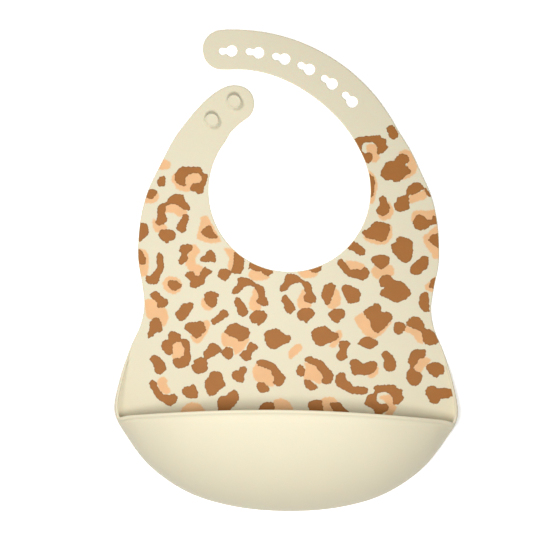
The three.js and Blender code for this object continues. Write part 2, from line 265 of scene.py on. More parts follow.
class Loop:
    """A closed edge, its material on the left, as points and the direction inwards at each.

    At a seam, where two pieces meet, the edge isn't rounded: its two end points move along the
    seam, and the points between them, which stay clear of the ends by a margin, don't move.
    """

    def __init__(self, stretches, spacing, margin=0.0):
        points = []
        inwards = []
        for index, (line, is_seam) in enumerate(stretches):
            line = np.asarray(line, float)
            before = stretches[index - 1]
            if is_seam:
                along = unit(line[-1] - line[0])
                clear = np.array((line[0] + along * margin, line[-1] - along * margin))
                middle = respace(clear, spacing * 2)
                line = np.vstack((line[0], middle, line[-1]))
                normal = np.zeros_like(line)
                normal[0] = along
            else:
                line = respace(line, spacing)
                tangent = np.gradient(line, axis=0)
                normal = np.column_stack((-tangent[:, 1], tangent[:, 0]))
                normal /= np.linalg.norm(normal, axis=1)[:, None]
                if before[1]:
                    normal[0] = unit(before[0][0] - before[0][-1])
            points.append(line[:-1])
            inwards.append(normal[:-1])
        self.points = np.vstack(points)
        self.inwards = np.vstack(inwards)
        if len(stretches) == 1:
            across = self.points[1] - self.points[-1]
            self.inwards[0] = unit(np.array((-across[1], across[0])))

    def offset(self, distance):
        """The edge moved inwards."""
        return self.points + self.inwards * distance


def unit(vector):
    """The vector at a length of 1."""
    return vector / np.linalg.norm(vector)


# ---------------------------------------------------------------- sheets

# How the edge of the sheet is rounded: distance inwards from the edge and height, going from
# the back, round the edge, to the front.
BACK_ROUND = ((0.45, 0.0), (0.13, 0.13), (0.0, 0.45))
FRONT_ROUND_RADIUS = 0.75
FRONT_ROUND_ROWS = 7
FRONT_UPRIGHT = 0.3
FRONT_LAST_ROW = 0.5
HOLE_ROUND_SHARE = 0.45
SEAM_MARGIN = 3.0
# Points of a fill keep this share of its spacing clear of the edges round it.
FILL_CLEARANCE = 0.75
# A triangle of a fill with less area than this is a sliver between points in a straight line.
SLIVER_AREA = 0.001
# Points closer than this are merged, and an edge that turns more than this stays sharp.
MERGE_WITHIN = 0.001
SHARP_ANGLE = 50


def front_round(share):
    """Distance inwards and height, for a share of the way from mid-edge round to the front."""
    middle = SHEET / 2
    if share < FRONT_UPRIGHT:
        return 0.0, middle + (SHEET - FRONT_ROUND_RADIUS - middle) * share / FRONT_UPRIGHT
    turn = (share - FRONT_UPRIGHT) / (1 - FRONT_UPRIGHT) * math.pi / 2
    return (
        FRONT_ROUND_RADIUS * (1 - math.cos(turn)),
        SHEET - FRONT_ROUND_RADIUS * (1 - math.sin(turn)),
    )


def inside(points, loops):
    """Whether each point is within the area that the loops enclose."""
    odd = np.zeros(len(points), bool)
    x, y = points[:, 0], points[:, 1]
    for loop in loops:
        for (x0, y0), (x1, y1) in zip(loop, np.roll(loop, -1, axis=0)):
            if y0 == y1:
                continue
            crosses = (y0 > y) != (y1 > y)
            odd ^= crosses & (x < x0 + (y - y0) * (x1 - x0) / (y1 - y0))
    return odd


def filled(loops, grids):
    """Triangles over the area within the loops, on grids with a spacing and a test of where each is.

    Returns the grids' points, and triangles that index first the loops' points and then those.
    """
    edge = np.vstack(loops)
    low, high = edge.min(axis=0), edge.max(axis=0)
    grid = []
    for spacing, keep in grids:
        xs = np.arange(low[0] + spacing / 2, high[0], spacing)
        ys = np.arange(low[1] + spacing / 2, high[1], spacing * math.sqrt(3) / 2)
        for row, y in enumerate(ys):
            shift = spacing / 2 * (row % 2)
            grid.extend((x + shift, y) for x in xs if keep(x + shift, y))
    grid = np.array(grid)
    grid = grid[inside(grid, loops)]
    clear = np.full(len(grid), np.inf)
    for point in edge:
        np.minimum(clear, np.hypot(*(grid - point).T), out=clear)
    grid = grid[clear > grids[0][0] * FILL_CLEARANCE]
    links = []
    first = 0
    for loop in loops:
        links += [(first + i, first + (i + 1) % len(loop)) for i in range(len(loop))]
        first += len(loop)
    everything = np.vstack((edge, grid))
    result = geometry.delaunay_2d_cdt([Vector(p) for p in everything], links, [], 0, 1e-6, True)
    places, triangles, origins = result[0], result[2], result[3]
    source = [min(o) if o else -1 for o in origins]
    triangles = [t for t in triangles if len(t) == 3 and min(source[i] for i in t) >= 0]
    middles = np.array([sum((places[i] for i in t), Vector((0, 0))) / 3 for t in triangles])
    slivers = np.array([geometry.area_tri(*(places[i] for i in t)) < SLIVER_AREA for t in triangles])
    kept = inside(middles, loops) | slivers
    named = [tuple(source[i] for i in t) for t in triangles]
    return grid, without_strays(named, kept, slivers, {frozenset(link) for link in links})


def without_strays(triangles, kept, slivers, border):
    """The kept triangles, without the slivers outside a straight edge.

    Such a sliver has a side that is neither on the border nor shared with another triangle."""
    while True:
        sides = [[frozenset(pair) for pair in combinations(t, 2)] for t in triangles]
        uses = Counter(side for index in np.where(kept)[0] for side in sides[index])
        stray = [
            index for index in np.where(kept & slivers)[0]
            if any(uses[side] < 2 and side not in border for side in sides[index])
        ]
        if not stray:
            return [triangles[index] for index in np.where(kept)[0]]
        kept[stray] = False


def places_of(mesh):
    """The places of a mesh's points, one after another."""
    places = np.zeros(len(mesh.vertices) * 3, np.float32)
    mesh.vertices.foreach_get("co", places)
    return places


def everywhere(x, y):
    """Keeps every point of a grid."""
    return True


class Moulding:
    """A closed mesh, gathered as rows of points round its edges and areas filled between them."""

    def __init__(self):
        self.points = []
        self.faces = []

    def add_points(self, points):
        """Adds points, and returns the first one's index."""
        first = len(self.points)
        self.points.extend(map(tuple, points))
        return first

    def add_rows(self, rows):
        """Joins closed rows of points into a band. Returns the first row's and last row's index."""
        starts = [self.add_points(row) for row in rows]
        count = len(rows[0])
        for low, high in zip(starts, starts[1:]):
            for i in range(count):
                j = (i + 1) % count
                self.faces.append((low + i, low + j, high + j, high + i))
        return starts[0], starts[-1]

    def add_area(self, loops, starts, height, grids, faces_up):
        """Fills the area within rows that are already there, at one height."""
        grid, triangles = filled(loops, grids)
        index = [s + i for s, loop in zip(starts, loops) for i in range(len(loop))]
        first = self.add_points([(x, y, height) for x, y in grid])
        index += [first + i for i in range(len(grid))]
        for triangle in triangles:
            self.faces.append(tuple(index[i] for i in (triangle if faces_up else reversed(triangle))))

    def build(self, name, material):
        """The Blender object, in metres, shaded smooth but for its sharp edges."""
        mesh = bpy.data.meshes.new(name)
        mesh.from_pydata((np.array(self.points) * MM).tolist(), [], self.faces)
        work = bmesh.new()
        work.from_mesh(mesh)
        bmesh.ops.remove_doubles(work, verts=work.verts, dist=MERGE_WITHIN * MM)
        bmesh.ops.dissolve_degenerate(work, edges=work.edges, dist=MERGE_WITHIN * MM)
        work.to_mesh(mesh)
        work.free()
        moulded = mesh.attributes.new("moulded_place", "FLOAT_VECTOR", "POINT")
        moulded.data.foreach_set("vector", places_of(mesh))
        mesh.shade_smooth()
        mesh.set_sharp_from_angle(angle=math.radians(SHARP_ANGLE))
        mesh.materials.append(material)
        made = bpy.data.objects.new(name, mesh)
        bpy.context.scene.collection.objects.link(made)
        return made


def rounded_rows(loop, tight=1.0):
    """Rows of a plain sheet's edge, from its back to its front, and one just inside it."""
    rows = [with_height(loop.offset(d * tight), z) for d, z in BACK_ROUND]
    for share in np.linspace(0, 1, FRONT_ROUND_ROWS):
        distance, height = front_round(share)
        rows.append(with_height(loop.offset(distance * tight), height))
    rows.append(with_height(loop.offset((FRONT_ROUND_RADIUS + FRONT_LAST_ROW) * tight), SHEET))
    return rows


def with_height(points, height):
    """Plan points, all at one height."""
    return np.column_stack((points, np.full(len(points), height)))


def flat_piece(edge, holes, spacing):
    """A piece of plain sheet with rounded edges, and holes whose edges are rounded less."""
    made = Moulding()
    ends = []
    for loop, tight in [(edge, 1.0)] + [(hole, HOLE_ROUND_SHARE) for hole in holes]:
        rows = rounded_rows(loop, tight)
        low, high = made.add_rows(rows)
        ends.append((rows[0][:, :2], low, rows[-1][:, :2], high))
    low_loops, lows, high_loops, highs = zip(*ends)
    made.add_area(high_loops, highs, SHEET, [(spacing, everywhere)], True)
    made.add_area(low_loops, lows, 0.0, [(spacing, everywhere)], False)
    return made


# ---------------------------------------------------------------- the moulded body

OUTER_ROWS = 17
BEAD_ROWS = 9
INNER_ROWS = 9
FILLET_ROWS = 4
FLAT_ROWS = 5
LAST_OFFSET = 6.6
# Under the bead the wall thins to a groove, over these shares of its height.
GROOVE_DEPTH = 0.5
GROOVE_STEP = (0.95, 0.985)
BELOW_GROOVE = 0.94
GROOVE_ROWS = (0.965, 0.985, 1.0)
BEAD_STAND_OFF = 0.1
# The least that a wall rises from mid-edge and from the sheet's face, so that every row has a
# shape even where the wall fades out, and the most of its turn that its foot may take up.
LEAST_RISE = 0.5
LEAST_WALL = 0.2
MOST_FOOT = 0.92
BEAD_SWEEP = (-38, 218)
# How fine the body's mesh is: round its edge, under the print, elsewhere in front, and behind.
BODY_SPACING = 1.8
PRINTED_GRID = 1.15
PLAIN_GRID = 4.0
BACK_GRID = 3.2


def body_stretches():
    """The body's edge as four stretches: the outer edge, a seam, the neck, and a seam."""
    outer = outer_edge()
    inner = inner_edge()
    long_outer = polar(LONG_CENTRE, LONG_OUTER, LONG_SEAMS[0])
    long_inner = polar(LONG_CENTRE, LONG_INNER, LONG_SEAMS[0])
    short_outer = polar(NECK_CENTRE, SHORT_OUTER, SHORT_SEAMS[0])
    short_inner = polar(NECK_CENTRE, NECK_RADIUS, SHORT_SEAMS[0])
    outer = cut_at(outer, NECK_CENTRE, SHORT_SEAMS[0], short_outer)[1]
    outer = cut_at(outer, LONG_CENTRE, LONG_SEAMS[0], long_outer)[0]
    inner = cut_at(inner, LONG_CENTRE, LONG_SEAMS[0], long_inner)[1]
    inner = cut_at(inner, NECK_CENTRE, SHORT_SEAMS[0], short_inner)[0]
    return joined_by_seams(outer, inner)


def lip_point(across):
    """Plan place and height of the wall's upper edge, for a place across the pocket from -1 to 1."""
    return (
        across * CORNER[0],
        LIP_CENTRE_Y + (LIP_END_Y - LIP_CENTRE_Y) * across * across,
        LIP_HEIGHT + (CORNER_HEIGHT - LIP_HEIGHT) * abs(across) ** LIP_FULLNESS,
    )


def lip_line(left, right):
    """The wall's upper edge, which turns a round corner at each end to run into a side rim."""
    lip = [lip_point(across) for across in np.linspace(-LIP_TURN, LIP_TURN, LIP_POINTS)]
    points = [left, lip_corner(left, -LIP_TURN), *lip, lip_corner(right, LIP_TURN), right]
    return smooth_curve(points, LIP_SPACING)


def lip_corner(side, across):
    """The middle of the round corner between a side rim and the lip."""
    lip = np.array(lip_point(across))
    square = np.array((side[0], lip[1], (side[2] + lip[2]) / 2))
    return square * CORNER_SQUARENESS + (np.array(side) + lip) * (1 - CORNER_SQUARENESS) / 2


class WallPlan:
    """What the wall does at each point of the sheet's edge."""

    def __init__(self, loop):
        points = loop.points
        count = len(points)
        bottom = np.where(points[:, 1] < RIM_END_Y)[0]
        lengths = lengths_along(points[bottom])
        along = lengths / lengths[-1]
        from_corner = np.minimum(along, 1 - along)
        # From 0, as slender as a side rim, to 1, as stout as the pocket's wall.
        self.stout = np.zeros(count)
        self.stout[bottom] = smoothstep(0.0, STOUT_WITHIN, from_corner)
        self.half = RIM_HALF + (WALL_HALF - RIM_HALF) * self.stout
        self.bead = RIM_BEAD_RADIUS + (BEAD_RADIUS - RIM_BEAD_RADIUS) * self.stout
        # Where the middle of the wall starts and ends in plan, and the direction it faces there.
        self.start = points + loop.inwards * self.half[:, None]
        self.ends = self.start.copy()
        self.over = loop.inwards.copy()
        self.heights = np.full(count, SHEET)
        # How far over the wall leans, in degrees, and how much of a wall there is, from 0 to 1.
        self.lean = np.full(count, RIM_TURN)
        self.amount = np.zeros(count)
        outside = np.abs(points[:, 0]) > CORNER[0] / 2
        side = (points[:, 1] >= RIM_END_Y) & (points[:, 1] < RIM_START_Y) & outside
        fall = (RIM_START_Y - points[side, 1]) / (RIM_START_Y - RIM_END_Y)
        rim = (CORNER_HEIGHT - SHEET) * fall ** RIM_RISE
        self.heights[side] = SHEET + rim
        self.ends[side] += loop.inwards[side] * rim[:, None] * RIM_LEAN
        self.amount[side] = smoothstep(0.0, FULL_RIM, rim)
        corners = []
        for i in (bottom[0], bottom[-1]):
            leant = self.start[i] + loop.inwards[i] * (CORNER_HEIGHT - SHEET) * RIM_LEAN
            corners.append((*leant, CORNER_HEIGHT))
        line = lip_line(*corners)
        tangent = np.gradient(line[:, :2], axis=0)
        tangent /= np.linalg.norm(tangent, axis=1)[:, None]
        steps = lengths_along(line[:, :2])
        share = LIP_EVENNESS * along + (1 - LIP_EVENNESS) * (1 - np.cos(np.pi * along)) / 2
        at = share * steps[-1]
        self.ends[bottom] = np.column_stack([np.interp(at, steps, line[:, i]) for i in (0, 1)])
        run, climb = (np.interp(at, steps, tangent[:, i]) for i in (0, 1))
        self.over[bottom] = np.column_stack((-climb, run))
        self.heights[bottom] = np.interp(at, steps, line[:, 2])
        change = smoothstep(TURN_FROM, TURN_WITHIN, from_corner)
        self.lean[bottom] = RIM_TURN + (POCKET_TURN - RIM_TURN) * change
        self.amount[bottom] = 1


def wall_rows(loop):
    """Rows from mid-edge, up the outside of the wall, over its bead and down its inside."""
    plan = WallPlan(loop)
    travel_line = plan.ends - plan.start
    reach = np.linalg.norm(travel_line, axis=1)
    along = np.where(reach[:, None] > 0.01, travel_line / np.maximum(reach, 0.01)[:, None], loop.inwards)
    base = SHEET / 2
    full = np.radians(plan.lean)
    rise = np.maximum(plan.heights - base, LEAST_RISE)

    def middle(turn, share):
        """The wall's mid-surface at a turn: place, height, tangent and the direction it faces."""
        travel = reach * (1 - np.cos(turn)) / (1 - np.cos(full))
        height = base + rise * np.sin(turn) / np.sin(full)
        run = reach * np.sin(turn) / (1 - np.cos(full))
        climb = rise * np.cos(turn) / np.sin(full)
        size = np.hypot(run, climb)
        facing = loop.inwards * (1 - share) + plan.over * share
        facing /= np.maximum(np.linalg.norm(facing, axis=1), 1e-6)[:, None]
        return plan.start + along * travel[:, None], height, run / size, climb / size, facing

    def row(place, height, facing, out, up):
        return np.column_stack((place + facing * out[:, None], height + up))

    rows = []
    half = plan.half
    for share in [*np.linspace(0, BELOW_GROOVE, OUTER_ROWS - len(GROOVE_ROWS)), *GROOVE_ROWS]:
        place, height, run, climb, facing = middle(full * share, share)
        groove = half * (1 - GROOVE_DEPTH * smoothstep(*GROOVE_STEP, share))
        rows.append(row(place, height, facing, -climb * groove, run * groove))
    place, height, run, climb, facing = middle(full, 1.0)
    beyond = plan.bead + BEAD_STAND_OFF
    centre = place + facing * (run * beyond)[:, None]
    centre_height = height + climb * beyond
    for turn in np.radians(np.linspace(*BEAD_SWEEP, BEAD_ROWS)):
        out = (-climb * math.cos(turn) + run * math.sin(turn)) * plan.bead
        up = (run * math.cos(turn) + climb * math.sin(turn)) * plan.bead
        rows.append(row(centre, centre_height, facing, out, up))
    widest = RIM_FILLET + (FLOOR_FILLET - RIM_FILLET) * plan.stout
    fillet = np.minimum(widest, np.maximum(plan.heights - SHEET, LEAST_WALL) * FILLET_SHARE)
    foot = np.arcsin(np.clip((SHEET + fillet - base) / rise, 0, MOST_FOOT) * np.sin(full))
    for share in np.linspace(1, 0, INNER_ROWS):
        turn = foot + (full - foot) * share
        place, height, run, climb, facing = middle(turn, share)
        rows.append(row(place, height, facing, climb * half, -run * half))
    place, height, run, climb, facing = middle(foot, 0.0)
    for turn in np.radians(np.linspace(90 / FILLET_ROWS, 90, FILLET_ROWS)):
        out = climb * half + fillet * (1 - math.cos(turn))
        top = height - run * half
        fall = (top - SHEET) * (1 - math.sin(turn))
        rows.append(np.column_stack((place + facing * out[:, None], SHEET + fall)))
    last = with_height(loop.offset(LAST_OFFSET), SHEET)
    foot_row = rows[-1]
    for share in np.arange(1, FLAT_ROWS + 1) / (FLAT_ROWS + 1):
        rows.append(foot_row * (1 - share) + last * share)
    plain = []
    for share in np.linspace(0, 1, OUTER_ROWS + BEAD_ROWS):
        distance, height = front_round(share)
        plain.append(with_height(loop.offset(distance), height))
    flat_rows = INNER_ROWS + FILLET_ROWS + FLAT_ROWS
    for share in np.arange(1, flat_rows + 1) / (flat_rows + 1):
        distance = FRONT_ROUND_RADIUS + (LAST_OFFSET - FRONT_ROUND_RADIUS) * share
        plain.append(with_height(loop.offset(distance), SHEET))
    weight = plan.amount[:, None]
    mixed = [flat * (1 - weight) + wall * weight for flat, wall in zip(plain, rows)]
    return [*mixed, last]


def body_moulding():
    """The sheet, its side rims and its pocket, in one closed mesh."""
    loop = Loop(body_stretches(), BODY_SPACING, LAST_OFFSET + 1)
    made = Moulding()
    rows = [with_height(loop.offset(d), z) for d, z in BACK_ROUND] + wall_rows(loop)
    low, high = made.add_rows(rows)
    front = [
        (PRINTED_GRID, lambda x, y: y > PRINT_ENDS_Y),
        (PLAIN_GRID, lambda x, y: y < PRINT_ENDS_Y - 1),
    ]
    made.add_area([rows[-1][:, :2]], [high], SHEET, front, True)
    made.add_area([rows[0][:, :2]], [low], 0.0, [(BACK_GRID, everywhere)], False)
    return made


# ---------------------------------------------------------------- the straps

STRAP_SPACING = 1.2
STRAP_GRID = 1.7
KEYHOLE_SPACING = 0.5


def strap_length(centre, seams, away, home, holes=()):
    """A length of strap, from one seam to the next, or to the round tip.

    One edge runs away to the tip and one runs home from it, each given with its radius."""
    (away, away_radius), (home, home_radius) = away, home
    away = cut_at(away, centre, seams[0], polar(centre, away_radius, seams[0]))[1]
    home = cut_at(home, centre, seams[0], polar(centre, home_radius, seams[0]))[0]
    if len(seams) == 1:
        stretches = [(np.vstack((away, home[1:])), False), (np.array((home[-1], away[0])), True)]
    else:
        away = cut_at(away, centre, seams[1], polar(centre, away_radius, seams[1]))[0]
        home = cut_at(home, centre, seams[1], polar(centre, home_radius, seams[1]))[1]
        stretches = joined_by_seams(away, home)
    return flat_piece(Loop(stretches, STRAP_SPACING, SEAM_MARGIN), holes, STRAP_GRID)


def long_strap_length(index):
    """A length of the keyhole strap."""
    seams = LONG_SEAMS[index:index + 2]
    end = seams[1] if len(seams) == 2 else 180
    angles = [FIRST_KEYHOLE_AT + i * KEYHOLE_PITCH for i in range(KEYHOLES)]
    holes = [keyhole(angle) for angle in angles if seams[0] < angle < end]
    return strap_length(LONG_CENTRE, seams, (outer_edge(), LONG_OUTER), (inner_edge(), LONG_INNER), holes)


def short_strap_length(index):
    """A length of the stud strap."""
    seams = SHORT_SEAMS[index:index + 2]
    return strap_length(NECK_CENTRE, seams, (inner_edge(), NECK_RADIUS), (outer_edge(), SHORT_OUTER))


def keyhole(angle):
    """A keyhole's edge: a large circle that runs into a small one, nearer the strap's tip."""
    large = polar(LONG_CENTRE, LONG_MIDDLE, angle)
    small = polar(LONG_CENTRE, LONG_MIDDLE, angle + math.degrees(KEYHOLE_OFFSET / LONG_MIDDLE))
    turn = math.degrees(math.atan2(small[1] - large[1], small[0] - large[0]))
    waist = large + (small - large) * KEYHOLE_NECK_SHARE
    points = [polar(large, KEYHOLE_LARGE, turn + a) for a in np.linspace(*KEYHOLE_LARGE_ARC)]
    points.append(polar(waist, KEYHOLE_NECK, turn - 90))
    points += [polar(small, KEYHOLE_SMALL, turn + a) for a in np.linspace(*KEYHOLE_SMALL_ARC)]
    points.append(polar(waist, KEYHOLE_NECK, turn + 90))
    return Loop([(closed_curve(points, KEYHOLE_CURVE_SPACING)[::-1], False)], KEYHOLE_SPACING)


# ---------------------------------------------------------------- the studs

# A stud's section, as radius and height above the strap's face: a fillet where it leaves the
# strap, a neck as long as the strap is thick, and a flat head with a raised rim.
STUD_SECTION = (
    (0, -0.05), (5.6, -0.05), (5.6, 0.02), (5.2, 0.28), (4.4, 0.72), (3.4, 0.95), (2.8, 1.2), (2.6, 1.6),
    (2.6, 2.9), (2.75, 3.25), (3.2, 3.4), (3.85, 3.45), (4.15, 3.6), (4.32, 3.9), (4.36, 4.35),
    (4.3, 4.72), (4.14, 4.95), (3.92, 5.02), (3.7, 4.95), (3.5, 4.8), (3.25, 4.72), (2.2, 4.7),
    (1.1, 4.7), (0, 4.7),
)
STUD_FACETS = 56
STUD_CIRCLE_RADIUS = 67.6
STUDS_AT = (122.8, 138.7)


def stud_mesh(centre):
    """A stud, turned about its axis."""
    made = Moulding()
    turns = np.radians(np.arange(STUD_FACETS) * 360 / STUD_FACETS)
    rows = []
    for radius, height in STUD_SECTION[1:-1]:
        rows.append(np.column_stack((
            centre[0] + radius * np.cos(turns), centre[1] + radius * np.sin(turns),
            np.full(STUD_FACETS, SHEET + height),
        )))
    low, high = made.add_rows(rows)
    foot = made.add_points([(*centre, SHEET + STUD_SECTION[0][1])])
    top = made.add_points([(*centre, SHEET + STUD_SECTION[-1][1])])
    for i in range(STUD_FACETS):
        j = (i + 1) % STUD_FACETS
        made.faces.append((low + j, low + i, foot))
        made.faces.append((high + i, high + j, top))
    return made


# ---------------------------------------------------------------- the print

PRINT_ENDS_Y = -99.0
SPOT_SPACING = 0.6
SPOT_ROUNDNESS = 0.6
# Distances from the print are stored up to this far. Only points near the sheet's front have any.
FAR = 4.0
BELOW_FRONT = 0.12
ABOVE_FRONT = 0.25

